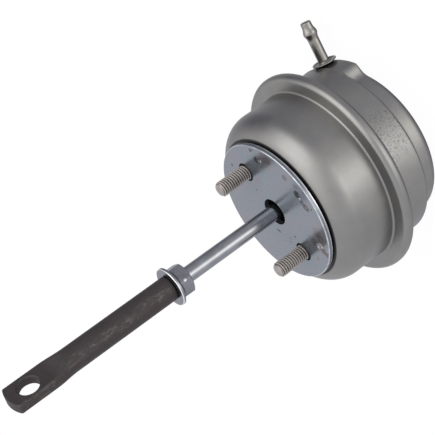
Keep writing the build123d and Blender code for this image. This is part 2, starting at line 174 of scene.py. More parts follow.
def soft_max(first: np.ndarray, second: np.ndarray, reach: np.ndarray | float) -> np.ndarray:
    """The larger value, eased as in soft_min but raised."""
    return -soft_min(-first, -second, reach)


def turn_angles(columns: int) -> np.ndarray:
    """Angles of one whole turn, the last on top of the first."""
    return np.linspace(0, 2 * pi, columns + 1)


def revolved(profile: np.ndarray, columns: int) -> np.ndarray:
    """Grid of a profile turned round the Z axis.

    Args:
        profile: Radius and height of each row.
        columns: Number of steps round the axis.

    Returns:
        Array of rows by columns by 3: (radius cos a, radius sin a, height) at each angle a.
    """
    angles = turn_angles(columns)[None, :]
    radius, height = profile[:, :1], profile[:, 1:]
    return np.stack([radius * np.cos(angles), radius * np.sin(angles), height + 0 * angles], axis=-1)


def loop_of(path: np.ndarray, thickness: float) -> np.ndarray:
    """Closed section of a bent sheet: the face line, its shifted copy backwards and the first point."""
    return np.vstack([path, shifted_path(path, thickness)[::-1], path[:1]])


def piece_from_grid(name: str, grid: np.ndarray) -> Piece:
    """Mesh object of a grid of points.

    Each four neighbours make a face. Rows or columns that lie on each other are merged, which closes seams
    and poles, and the normals are turned outwards.

    Args:
        name: Name of the piece.
        grid: Array of rows by columns by 3, in millimetres.

    Returns:
        The object, at the origin, in the scene's collection.
    """
    rows, columns = grid.shape[:2]
    index = np.arange(rows * columns).reshape(rows, columns)
    corners = [index[:-1, :-1], index[:-1, 1:], index[1:, 1:], index[1:, :-1]]
    faces = np.stack(corners, axis=-1).reshape(-1, 4)
    mesh = bpy.data.meshes.new(name)
    mesh.vertices.add(rows * columns)
    mesh.vertices.foreach_set("co", (grid * MM).astype(np.float32).ravel())
    mesh.loops.add(faces.size)
    mesh.loops.foreach_set("vertex_index", faces.ravel().astype(np.int32))
    mesh.polygons.add(len(faces))
    mesh.polygons.foreach_set("loop_start", np.arange(0, faces.size, 4, dtype=np.int32))
    mesh.update(calc_edges=True)
    mesh.validate()
    shape = bmesh.new()
    shape.from_mesh(mesh)
    bmesh.ops.remove_doubles(shape, verts=shape.verts, dist=MERGE_DISTANCE)
    bmesh.ops.dissolve_degenerate(shape, edges=shape.edges, dist=MERGE_DISTANCE)
    bmesh.ops.recalc_face_normals(shape, faces=shape.faces)
    shape.to_mesh(mesh)
    shape.free()
    piece = bpy.data.objects.new(name, mesh)
    bpy.context.scene.collection.objects.link(piece)
    smooth_faces(piece)
    return piece


def smooth_faces(piece: Piece) -> None:
    """Shades the piece smoothly, with sharp edges where faces turn by more than the sharp angle."""
    piece.data.polygons.foreach_set("use_smooth", np.ones(len(piece.data.polygons), bool))
    piece.data.set_sharp_from_angle(angle=SHARP_ANGLE)


def cut(piece: Piece, tools: Sequence[Piece]) -> None:
    """Cuts solids out of a piece's mesh, and removes them.

    Args:
        piece: The piece, closed.
        tools: The closed solids that are cut out.
    """
    for tool in tools:
        bore = piece.modifiers.new("bore", "BOOLEAN")
        bore.operation = "DIFFERENCE"
        bore.solver = "EXACT"
        bore.object = tool
    bpy.context.view_layer.update()
    evaluated = piece.evaluated_get(bpy.context.evaluated_depsgraph_get())
    cut_mesh = bpy.data.meshes.new_from_object(evaluated)
    piece.modifiers.clear()
    cut_mesh.name = piece.name
    piece.data = cut_mesh
    for tool in tools:
        bpy.data.objects.remove(tool)
    smooth_faces(piece)


def turned(piece: Piece, turn: Matrix) -> Piece:
    """Moves a piece's mesh and leaves its object at the origin.

    Args:
        piece: The piece.
        turn: The move, in metres.

    Returns:
        The same piece.
    """
    piece.data.transform(turn)
    smooth_faces(piece)
    return piece


# Node trees


def shaded(colour: Colour, share: float) -> Colour:
    """The colour with all its parts times the share."""
    return tuple(share * part for part in colour)


def tinted(colour: Colour, tint: Colour) -> Colour:
    """The colour with each of its parts times the tint's."""
    return tuple(part * share for part, share in zip(colour, tint))


class NodeSheet:
    """A node tree with short ways to add the nodes that the finishes use."""

    def __init__(self, tree: bpy.types.NodeTree) -> None:
        """Keeps the tree that the nodes go into."""
        self.tree = tree

    def node(self, kind: str, **settings: object) -> Node:
        """New node.

        Args:
            kind: Its type in the program.
            **settings: Its properties.

        Returns:
            The node.
        """
        made = self.tree.nodes.new(kind)
        for name, value in settings.items():
            setattr(made, name, value)
        return made

    def feed(self, socket: Socket, source: Feed) -> None:
        """Links a socket to a source, or sets its own value to a plain one.

        Args:
            socket: The input.
            source: An output, a number, a vector or a colour.
        """
        if isinstance(source, Socket):
            self.tree.links.new(source, socket)
        elif isinstance(source, (tuple, list)) and socket.type == "RGBA":
            socket.default_value = (*source[:3], 1)
        else:
            socket.default_value = source

    def filled(self, node: Node, *sources: Feed) -> Node:
        """Feeds a node's inputs in order.

        Args:
            node: The node.
            *sources: What its first inputs take.

        Returns:
            The same node.
        """
        for socket, source in zip(node.inputs, sources):
            self.feed(socket, source)
        return node

    def fed(self, node: Node, **sources: Feed) -> Node:
        """Feeds a node's inputs by name.

        Args:
            node: The node.
            **sources: What the inputs take, by their names in small letters with underscores.

        Returns:
            The same node.
        """
        for name, source in sources.items():
            self.feed(node.inputs[name.replace("_", " ").title()], source)
        return node

    def math(self, operation: str, first: Feed, second: Feed = 0.0, clamp: bool = False) -> Socket:
        """Result of one math step on two values."""
        step = self.node("ShaderNodeMath", operation=operation, use_clamp=clamp)
        return self.filled(step, first, second).outputs[0]

    def times(self, first: Feed, second: Feed) -> Socket:
        """The product of two values."""
        return self.math("MULTIPLY", first, second)

    def plus(self, first: Feed, second: Feed) -> Socket:
        """The sum of two values."""
        return self.math("ADD", first, second)

    def minus(self, first: Feed, second: Feed) -> Socket:
        """The first value less the second."""
        return self.math("SUBTRACT", first, second)

    def larger(self, first: Feed, second: Feed) -> Socket:
        """The larger of two values."""
        return self.math("MAXIMUM", first, second)

    def vector_math(self, operation: str, first: Feed, second: Feed = (0.0, 0.0, 0.0)) -> Node:
        """One vector math step, whose outputs are Vector and Value."""
        step = self.node("ShaderNodeVectorMath", operation=operation)
        return self.filled(step, first, second)

    def facing(self, vector: Feed, direction: Sequence[float]) -> Socket:
        """Dot product of the vector and a direction."""
        return self.vector_math("DOT_PRODUCT", vector, direction).outputs["Value"]

    def noise(self, vector: Feed, scale: Feed, detail: float = 3.0, roughness: float = 0.55) -> Socket:
        """Value of a noise at the vector, from 0 to 1 and mostly near a half."""
        made = self.node("ShaderNodeTexNoise")
        return self.fed(made, vector=vector, scale=scale, detail=detail, roughness=roughness).outputs["Fac"]

    def rise(self, value: Feed, low: Feed, high: Feed, start: float = 0.0, end: float = 1.0) -> Socket:
        """Smooth step of the value from the low mark to the high one, put onto start and end."""
        made = self.node("ShaderNodeMapRange", interpolation_type="SMOOTHSTEP")
        return self.fed(made, value=value, from_min=low, from_max=high, to_min=start, to_max=end).outputs[0]

    def blend(self, share: Feed, first: Feed, second: Feed) -> Socket:
        """Colour between the first and the second, by the share of the second."""
        made = self.node("ShaderNodeMix", data_type="RGBA")
        return self.fed(made, factor=share, a=first, b=second).outputs["Result"]

    def parts(self, vector: Feed) -> Sequence[Socket]:
        """The X, Y and Z of a vector."""
        return self.filled(self.node("ShaderNodeSeparateXYZ"), vector).outputs

    def joined(self, x: Feed, y: Feed, z: Feed) -> Socket:
        """A vector of three values."""
        return self.filled(self.node("ShaderNodeCombineXYZ"), x, y, z).outputs[0]

    def scaled(self, vector: Feed, scale: Sequence[float], location: Sequence[float] = (0, 0, 0)) -> Socket:
        """The vector stretched and then moved, for a pattern that is longer one way."""
        made = self.node("ShaderNodeMapping")
        return self.fed(made, vector=vector, scale=scale, location=location).outputs[0]

    def effect(self, group: bpy.types.NodeTree, **inputs: Feed) -> Socket:
        """First output of an effect group, with its named inputs fed."""
        made = self.node("ShaderNodeGroup", node_tree=group)
        return self.fed(made, **inputs).outputs[0]


class MaterialSheet(NodeSheet):
    """Nodes of a new material, with its Principled shader and its Object coordinates at hand."""

    def __init__(self, name: str) -> None:
        """Makes the material.

        Args:
            name: Its name.
        """
        self.material = bpy.data.materials.new(name)
        self.material.use_nodes = True
        super().__init__(self.material.node_tree)
        self.surface = self.tree.nodes["Principled BSDF"]
        self.place = self.node("ShaderNodeTexCoord").outputs["Object"]

    def colour(self, source: Feed) -> None:
        """Gives the shader its colour."""
        self.feed(self.surface.inputs["Base Color"], source)

    def gloss(self, share: Socket, smoothest: float, spread: float) -> None:
        """Gives the shader a roughness that rises from the smoothest by the spread with the share."""
        self.feed(self.surface.inputs["Roughness"], self.plus(self.times(share, spread), smoothest))

    def relief(self, height: Socket, depth: float) -> None:
        """Bumps the surface by a height from 0 to 1 times a depth in metres."""
        bump = self.fed(self.node("ShaderNodeBump"), distance=depth, height=height)
        self.feed(self.surface.inputs["Normal"], bump.outputs[0])

    def from_axis(self) -> Socket:
        """Distance from the rod's axis."""
        x, y, _ = self.parts(self.place)
        return self.vector_math("LENGTH", self.joined(x, y, 0.0)).outputs["Value"]

    def edge_push(self, scale: float = 700.0) -> Socket:
        """Noise around zero that moves the edges of spots."""
        return self.minus(self.noise(self.place, scale, 4.0), 0.5)


class EffectShelf:
    """Node groups of the effects that the finishes share. Each is built once."""

    def __init__(self) -> None:
        """Builds the groups."""
        self.clouds = self._clouds()
        self.spot = self._spot()
        self.ring_lines = self._ring_lines()
        self.streaks = self._streaks()

    @staticmethod
    def _new(
        name: str, floats: dict[str, float], vectors: Sequence[str] = ()
    ) -> tuple[NodeSheet, dict[str, Socket], Node]:
        """Starts a group with a Vector input, more inputs and a Mask output.

        Args:
            name: Name of the group.
            floats: Names and starting values of the number inputs.
            vectors: Names of further vector inputs.

        Returns:
            The sheet to draw on, the inputs' sockets by name, and the output node.
        """
        tree = bpy.data.node_groups.new(name, "ShaderNodeTree")
        for vector_name in ("Vector", *vectors):
            tree.interface.new_socket(name=vector_name, in_out="INPUT", socket_type="NodeSocketVector")
        for float_name, value in floats.items():
            socket = tree.interface.new_socket(name=float_name, in_out="INPUT", socket_type="NodeSocketFloat")
            socket.default_value = value
        tree.interface.new_socket(name="Mask", in_out="OUTPUT", socket_type="NodeSocketFloat")
        sheet = NodeSheet(tree)
        source, result = sheet.node("NodeGroupInput"), sheet.node("NodeGroupOutput")
        return sheet, {socket.name: socket for socket in source.outputs if socket.name}, result

    def _clouds(self) -> bpy.types.NodeTree:
        """Soft patches: 0.7 of a noise and 0.3 of one four times finer, spread to 0 and 1.

        Returns:
            The group.
        """
        sheet, given, result = self._new("soft_clouds", {"Scale": 40.0, "Spread": 0.25})
        broad = sheet.noise(given["Vector"], given["Scale"], 2.0)
        fine = sheet.noise(given["Vector"], sheet.times(given["Scale"], 4.0), 3.0)
        both = sheet.plus(sheet.times(broad, 0.7), sheet.times(fine, 0.3))
        low, high = sheet.minus(0.5, given["Spread"]), sheet.plus(0.5, given["Spread"])
        sheet.fed(result, mask=sheet.rise(both, low, high))
        return sheet.tree

    def _spot(self) -> bpy.types.NodeTree:
        """Round spot: 1 within the radius of the centre and 0 past the softness, its edge moved by the push.

        Returns:
            The group.
        """
        sizes = {"Radius": 0.002, "Softness": 0.001, "Raggedness": 0.001, "Push": 0.0}
        sheet, given, result = self._new("ragged_spot", sizes, ["Centre"])
        distance = sheet.vector_math("DISTANCE", given["Vector"], given["Centre"]).outputs["Value"]
        pushed = sheet.plus(distance, sheet.times(given["Push"], given["Raggedness"]))
        outer = sheet.plus(given["Radius"], given["Softness"])
        sheet.fed(result, mask=sheet.rise(pushed, outer, given["Radius"]))
        return sheet.tree

    def _ring_lines(self) -> bpy.types.NodeTree:
        """Fine lines round the Z axis, as drawing leaves: a noise of the radius and the height alone.

        Returns:
            The group.
        """
        sheet, given, result = self._new("ring_lines", {"Scale": 900.0})
        x, y, z = sheet.parts(given["Vector"])
        radius = sheet.math("SQRT", sheet.plus(sheet.times(x, x), sheet.times(y, y)))
        drift = sheet.times(sheet.noise(given["Vector"], 60.0, 1.0), 0.002)
        place = sheet.joined(sheet.plus(radius, drift), 0.0, z)
        sheet.fed(result, mask=sheet.noise(place, given["Scale"], 2.0))
        return sheet.tree

    def _streaks(self) -> bpy.types.NodeTree:
        """Crooked marks: where a noise passes its middle value, inside the patches of a broader noise.

        Returns:
            The group.
        """
        sheet, given, result = self._new("crooked_marks", {"Scale": 300.0, "Width": 0.02, "Patchiness": 0.5})
        line = sheet.math("ABSOLUTE", sheet.minus(sheet.noise(given["Vector"], given["Scale"], 2.0), 0.5))
        thin = sheet.rise(line, given["Width"], 0.0)
        aside = sheet.scaled(given["Vector"], (1, 1, 1), (0.3, 0.1, 0.7))
        patch = sheet.noise(aside, sheet.times(given["Scale"], 0.6), 3.0)
        patches = sheet.rise(patch, given["Patchiness"], sheet.plus(given["Patchiness"], 0.12))
        sheet.fed(result, mask=sheet.times(thin, patches))
        return sheet.tree


# Finishes


@dataclass(frozen=True)
class Finish:
    """A surface finish: its colour and gloss, and the shelf of effects that it draws on."""

    shelf: EffectShelf
    name: str
    colour: Colour
    metallic: float
    roughness: float
    roughness_range: float

    def material(self) -> bpy.types.Material:
        """Makes the material and dresses it.

        Returns:
            The finished material.
        """
        sheet = MaterialSheet(self.name)
        sheet.fed(sheet.surface, metallic=self.metallic)
        self.dress(sheet)
        return sheet.material

    def dress(self, sheet: MaterialSheet) -> None:
        """Gives the surface its colour, gloss and relief, in each finish's own way."""
        raise NotImplementedError(self.name)

    def clouds(self, sheet: MaterialSheet, scale: float, spread: float) -> Socket:
        """Soft patches on the surface."""
        return sheet.effect(self.shelf.clouds, vector=sheet.place, scale=scale, spread=spread)

    def gloss(self, sheet: MaterialSheet, share: Socket) -> None:
        """Roughness that rises by the finish's range with the share."""
        sheet.gloss(share, self.roughness, self.roughness_range)


@dataclass(frozen=True)
class ShellFinish(Finish):
    """Satin pickled stainless sheet: cloudy gloss, draw lines, an etched patch and a painted shadow in the
    crevice by the plate.
    """

    cloud_scale: float = 55.0
    cloud_spread: float = 0.17
    mottle_scale: float = 420.0
    mottle_spread: float = 0.22
    mottle_share: float = 0.35
    dark_share: float = 0.93
    warm_tint: Colour = (1.06, 1.045, 1.0)
    patch_centre: Triple = (0.001, 0.0345, -0.0362)
    patch_radius: float = 0.0072
    patch_softness: float = 0.003
    patch_raggedness: float = 0.016
    speck_scale: float = 1500.0
    speck_edges: Pair = (0.5, 0.62)
    etch_share: float = 0.8
    etched_shade: float = 0.5
    # Painted shadow: a near-black ring on the nose just outside the plate's edge.
    crevice_radius: float = 0.0291
    crevice_width: float = 0.0006
    crevice_back_z: float = -0.004
    crevice_front_z: float = -0.003
    crevice_share: float = 0.93
    crevice_colour: Colour = (0.012, 0.009, 0.009)
    swell_scale: float = 130.0
    swell_share: float = 6.0
    grain_scale: float = 3000.0
    grain_share: float = 0.22
    line_scale: float = 1100.0
    line_share: float = 0.35
    relief_depth: float = 0.00001

    def dress(self, sheet: MaterialSheet) -> None:
        """Gives the shell its mottled steel, the etched patch, the painted crevice shadow and the relief.

        Args:
            sheet: The material's nodes.
        """
        clouds = self.clouds(sheet, self.cloud_scale, self.cloud_spread)
        mottle = self.clouds(sheet, self.mottle_scale, self.mottle_spread)
        dark = shaded(self.colour, self.dark_share)
        clouded = sheet.blend(clouds, dark, tinted(self.colour, self.warm_tint))
        mottled = sheet.blend(sheet.times(mottle, self.mottle_share), clouded, dark)
        etched = self.etched(sheet)
        ink = shaded(self.colour, self.etched_shade)
        inked = sheet.blend(sheet.times(etched, self.etch_share), mottled, ink)
        # painted shadow of the gap under the plate's edge, mixed over the steel
        crevice = sheet.times(self.crevice(sheet), self.crevice_share)
        sheet.colour(sheet.blend(crevice, inked, self.crevice_colour))
        rubbed = sheet.plus(sheet.times(clouds, 0.6), sheet.times(mottle, 0.4))
        self.gloss(sheet, sheet.larger(rubbed, etched))
        swell = sheet.times(sheet.noise(sheet.place, self.swell_scale, 2.0), self.swell_share)
        grain = sheet.times(sheet.noise(sheet.place, self.grain_scale, 2.0), self.grain_share)
        lines = sheet.effect(self.shelf.ring_lines, vector=sheet.place, scale=self.line_scale)
        height = sheet.plus(sheet.plus(swell, grain), sheet.times(lines, self.line_share))
        sheet.relief(height, self.relief_depth)

    def etched(self, sheet: MaterialSheet) -> Socket:
        """Specks inside the ragged patch on the rear wall.

        Args:
            sheet: The material's nodes.

        Returns:
            Their mask.
        """
        patch = sheet.effect(
            self.shelf.spot, vector=sheet.place, centre=self.patch_centre, radius=self.patch_radius,
            softness=self.patch_softness, raggedness=self.patch_raggedness, push=sheet.edge_push(),
        )
        specks = sheet.noise(sheet.place, self.speck_scale, 4.0, 0.7)
        return sheet.times(patch, sheet.rise(specks, *self.speck_edges))

    def crevice(self, sheet: MaterialSheet) -> Socket:
        """Ring of the nose just outside the plate, painted near black as the shadow in the gap under the
        plate's edge.

        Args:
            sheet: The material's nodes.

        Returns:
            Its mask.
        """
        outer = self.crevice_radius + self.crevice_width
        by_plate = sheet.rise(sheet.from_axis(), outer, self.crevice_radius)
        height = sheet.parts(sheet.place)[2]
        return sheet.times(by_plate, sheet.rise(height, self.crevice_back_z, self.crevice_front_z))


@dataclass(frozen=True)
class Mark:
    """A stain on the plate's face: its centre, radius and raggedness in millimetres, its ink and share."""

    x: float
    y: float
    radius: float
    ragged: float
    ink: Colour
    share: float


SOOT = (0.016, 0.012, 0.012)
BROWN = (0.13, 0.106, 0.1)
ASH = (0.21, 0.195, 0.2)
PALE = (0.75, 0.72, 0.62)
ROSE = (0.29, 0.2, 0.21)


@dataclass(frozen=True)
class PlateFinish(Finish):
    """Blue zinc plating with weld marks, smears, dark specks, short scratches, and painted highlights and
    shade on its edge.
    """

    cloud_scale: float = 75.0
    cloud_spread: float = 0.16
    tint_scale: float = 110.0
    tint_spread: float = 0.12
    rose_tint: Colour = (1.17, 0.97, 0.97)
    teal_tint: Colour = (0.89, 1.05, 1.06)
    tint_share: float = 0.6
    scratch_stretch: Triple = (1.0, 0.35, 1.0)
    scratch_scale: float = 190.0
    scratch_width: float = 0.006
    scratch_patchiness: float = 0.62
    scratch_share: float = 0.5
    mark_growth: float = 1.1
    mark_softness: float = 0.35
    # Painted edge light: a darker painted band on the plate's rim and painted highlight lines at its two
    # corners.
    edge_radius: float = 0.0281
    edge_ease: float = 0.0001
    edge_share: float = 0.55
    edge_shade: float = 0.5
    front_line: Pair = (-0.00045, -0.0002)
    rear_line_top: Pair = (-0.00115, -0.0013)
    rear_line_foot: Pair = (-0.00175, -0.0016)
    edge_colour: Colour = (0.56, 0.59, 0.62)
    relief_depth: float = 0.00001
    marks: tuple[Mark, ...] = (
        Mark(-18.7, 13.0, 1.2, 1.5, SOOT, 0.72), Mark(-16.2, 19.2, 1.5, 2.4, BROWN, 0.4),
        Mark(-17.3, 16.4, 1.2, 1.6, BROWN, 0.35), Mark(-17.7, 14.7, 0.6, 0.4, PALE, 0.9),
        Mark(-7.7, 22.4, 1.0, 0.9, BROWN, 0.6), Mark(-3.1, 25.2, 0.9, 2.2, BROWN, 0.4),
        Mark(-0.3, 22.8, 1.3, 1.3, SOOT, 0.85), Mark(1.0, 23.5, 0.8, 0.7, ASH, 0.8),
        Mark(1.1, 23.4, 0.3, 0.3, PALE, 0.8), Mark(3.4, 22.2, 0.9, 1.4, SOOT, 0.62),
        Mark(5.4, 22.5, 1.15, 1.4, SOOT, 0.62), Mark(3.5, 22.3, 0.4, 0.6, ASH, 0.8),
        Mark(5.3, 22.5, 0.5, 0.7, ASH, 0.8), Mark(6.9, 25.0, 0.3, 0.2, SOOT, 0.8),
        Mark(-23.1, 13.4, 0.5, 0.9, SOOT, 0.8), Mark(-22.6, 15.0, 0.35, 0.6, SOOT, 0.6),
        Mark(-23.4, -5.9, 0.4, 0.5, SOOT, 0.8), Mark(-10.4, -1.3, 0.35, 0.4, SOOT, 0.6),
        Mark(-12.6, 4.2, 1.4, 2.4, ROSE, 0.3), Mark(5.9, -6.8, 0.25, 0.3, SOOT, 0.9),
        Mark(6.5, -6.5, 0.35, 0.3, SOOT, 0.9), Mark(7.2, -6.2, 0.3, 0.3, SOOT, 0.9),
        Mark(11.7, 1.6, 0.38, 0.2, SOOT, 0.8), Mark(11.3, -2.6, 0.55, 0.8, ASH, 0.6),
        Mark(12.6, -3.8, 0.6, 0.8, ASH, 0.6), Mark(14.6, 17.8, 1.7, 2.8, ASH, 0.5),
        Mark(17.0, 12.4, 1.4, 1.9, BROWN, 0.55), Mark(17.6, 17.4, 2.0, 2.6, BROWN, 0.5),
        Mark(21.6, 13.7, 1.2, 1.2, BROWN, 0.85), Mark(23.6, 14.0, 1.0, 1.4, BROWN, 0.8),
        Mark(19.4, 14.1, 0.9, 0.5, PALE, 0.9), Mark(22.8, 6.4, 0.7, 0.8, BROWN, 0.35),
    )

    def dress(self, sheet: MaterialSheet) -> None:
        """Gives the plate its tints, scratches, marks, painted edge highlights and shade, and relief.

        Args:
            sheet: The material's nodes.
        """
        clouds = self.clouds(sheet, self.cloud_scale, self.cloud_spread)
        aside = sheet.scaled(sheet.place, (1, 1, 1), (0.05, 0.02, 0.09))
        tints = sheet.effect(
            self.shelf.clouds, vector=aside, scale=self.tint_scale, spread=self.tint_spread
        )
        rosy = sheet.blend(
            sheet.times(tints, self.tint_share), self.colour, tinted(self.colour, self.rose_tint)
        )
        plated = sheet.blend(sheet.times(clouds, self.tint_share), rosy, tinted(self.colour, self.teal_tint))
        stretched = sheet.scaled(sheet.place, self.scratch_stretch)
        scratches = sheet.effect(
            self.shelf.streaks, vector=stretched, scale=self.scratch_scale, width=self.scratch_width,
            patchiness=self.scratch_patchiness,
        )
        scratched = sheet.blend(sheet.times(scratches, self.scratch_share), plated, BROWN)
        sheet.colour(self.edged(sheet, self.marked(sheet, scratched)))
        self.gloss(sheet, clouds)
        grain = sheet.times(sheet.noise(sheet.place, 2600.0, 3.0), 0.5)
        swell = sheet.times(sheet.noise(sheet.place, 220.0, 2.0), 2.0)
        height = sheet.minus(sheet.plus(swell, grain), sheet.times(scratches, 2.0))
        sheet.relief(height, self.relief_depth)

    def marked(self, sheet: MaterialSheet, colour: Socket) -> Socket:
        """Adds the marks, each over the ones before it.

        Args:
            sheet: The material's nodes.
            colour: The plate's colour without them.

        Returns:
            The colour with them.
        """
        push = sheet.edge_push()
        for mark in self.marks:
            spot = sheet.effect(
                self.shelf.spot, vector=sheet.place, centre=(mark.x * MM, mark.y * MM, 0.0),
                radius=self.mark_growth * mark.radius * MM, softness=self.mark_softness * mark.radius * MM,
                raggedness=mark.ragged * MM, push=push,
            )
            colour = sheet.blend(sheet.times(spot, mark.share), colour, mark.ink)
        return colour

    def edged(self, sheet: MaterialSheet, colour: Socket) -> Socket:
        """Adds a painted highlight line along both corners of the plate's edge and painted darker shade on
        the band between them.

        Args:
            sheet: The material's nodes.
            colour: The plate's colour without them.

        Returns:
            The colour with them.
        """
        height = sheet.parts(sheet.place)[2]
        on_edge = sheet.rise(sheet.from_axis(), self.edge_radius, self.edge_radius + self.edge_ease)
        # painted shade: the rim's band made darker
        band = shaded(self.colour, self.edge_shade)
        banded = sheet.blend(sheet.times(on_edge, self.edge_share), colour, band)
        # painted highlight lines at the edge's front and rear corners
        front = sheet.rise(height, *self.front_line)
        above_foot = sheet.rise(height, *self.rear_line_foot)
        rear = sheet.times(sheet.rise(height, *self.rear_line_top), above_foot)
        # noise that varies the painted highlight lines' strength along the edge
        worn = sheet.rise(sheet.noise(sheet.place, 300.0, 3.0), 0.35, 0.6, 0.55, 1.0)
        lines = sheet.times(sheet.larger(front, rear), sheet.times(on_edge, worn))
        return sheet.blend(lines, banded, self.edge_colour)


@dataclass(frozen=True)
class ThreadFinish(Finish):
    """Rolled thread of a stud: pale crests, and painted shade in the grooves, told by the stud's radius."""

    stud_offset: float = 0.018
    root_radius: float = 0.00243
    crest_radius: float = 0.0029
    ragged_edge: float = 0.00012
    thread_end: float = 0.0127
    groove_colour: Colour = (0.06, 0.05, 0.046)
    dark_share: float = 0.72
    cloud_scale: float = 260.0
    cloud_spread: float = 0.2
    grain_scale: float = 3200.0
    relief_depth: float = 0.00002

    def dress(self, sheet: MaterialSheet) -> None:
        """Gives the thread its crests, painted groove shade and relief.

        Args:
            sheet: The material's nodes.
        """
        x, y, z = sheet.parts(sheet.place)
        across = sheet.minus(sheet.math("ABSOLUTE", x), self.stud_offset)
        from_stud_axis = sheet.vector_math("LENGTH", sheet.joined(across, y, 0.0)).outputs["Value"]
        clouds = self.clouds(sheet, self.cloud_scale, self.cloud_spread)
        edge = sheet.plus(from_stud_axis, sheet.times(clouds, self.ragged_edge))
        on_thread = sheet.math("LESS_THAN", z, self.thread_end)
        # painted shade: the thread's grooves darkened by their depth
        groove = sheet.times(sheet.rise(edge, self.crest_radius, self.root_radius), on_thread)
        steel = sheet.blend(clouds, shaded(self.colour, self.dark_share), self.colour)
        sheet.colour(sheet.blend(groove, steel, self.groove_colour))
        self.gloss(sheet, clouds)
        sheet.relief(sheet.noise(sheet.place, self.grain_scale, 3.0), self.relief_depth)


@dataclass(frozen=True)
class DrawnFinish(Finish):
    """Bright drawn or turned steel: fine lines along or round the axis and small cloudy patches."""

    line_stretch: Triple = (1.0, 1.0, 0.04)
    line_scale: float = 2600.0
    line_depth: float = 0.000004
    cloud_scale: float = 160.0
    cloud_spread: float = 0.18
    dark_share: float = 0.85
    stain_scale: float = 420.0
    stain_width: float = 0.012
    stain_patchiness: float = 0.6
    stain_share: float = 0.5
    stain_darkness: float = 0.45

    def dress(self, sheet: MaterialSheet) -> None:
        """Gives the steel its patches, lines and marks.

        Args:
            sheet: The material's nodes.
        """
        clouds = self.clouds(sheet, self.cloud_scale, self.cloud_spread)
        sheet.colour(self.steel(sheet, clouds))
        self.gloss(sheet, clouds)
        stretched = sheet.scaled(sheet.place, self.line_stretch)
        sheet.relief(sheet.noise(stretched, self.line_scale), self.line_depth)

    def steel(self, sheet: MaterialSheet, clouds: Socket) -> Socket:
        """Colour of the steel, darker outside the clouds and along crooked marks.

        Args:
            sheet: The material's nodes.
            clouds: The patches' mask.

        Returns:
            The colour.
        """
        marks = sheet.effect(
            self.shelf.streaks, vector=sheet.place, scale=self.stain_scale, width=self.stain_width,
            patchiness=self.stain_patchiness,
        )
        clouded = sheet.blend(clouds, shaded(self.colour, self.dark_share), self.colour)
        stain = shaded(self.colour, self.stain_darkness)
        return sheet.blend(sheet.times(marks, self.stain_share), clouded, stain)


@dataclass(frozen=True)
class NutFinish(DrawnFinish):
    """Zinc on the flange nut, with a painted highlight along the flange's front edge and a painted glint at
    one corner of the hexagon.
    """

    # Painted highlight: a near-white line on the flange's front edge and a glint on one hexagon corner.
    edge_radius: float = 0.0073
    edge_ease: float = 0.0001
    edge_z: float = 0.0498
    edge_height: float = 0.0002
    corner_place: Triple = (0.00097, 0.0061, 0.0462)
    corner_radius: float = 0.0003
    corner_softness: float = 0.0005
    worn_colour: Colour = (0.88, 0.89, 0.9)

    def steel(self, sheet: MaterialSheet, clouds: Socket) -> Socket:
        """Adds the painted highlight on the flange's edge and the painted glint on a corner to the drawn
        steel.

        Args:
            sheet: The material's nodes.
            clouds: The patches' mask.

        Returns:
            The colour.
        """
        steel = super().steel(sheet, clouds)
        # painted highlight along the flange's front edge
        outer = sheet.rise(sheet.from_axis(), self.edge_radius, self.edge_radius + self.edge_ease)
        height = sheet.parts(sheet.place)[2]
        rim = sheet.times(outer, sheet.rise(height, self.edge_z, self.edge_z + self.edge_height))
        # painted glint on one corner of the hexagon
        corner = sheet.effect(
            self.shelf.spot, vector=sheet.place, centre=self.corner_place, radius=self.corner_radius,
            softness=self.corner_softness, raggedness=0.0,
        )
        return sheet.blend(sheet.larger(rim, corner), steel, self.worn_colour)


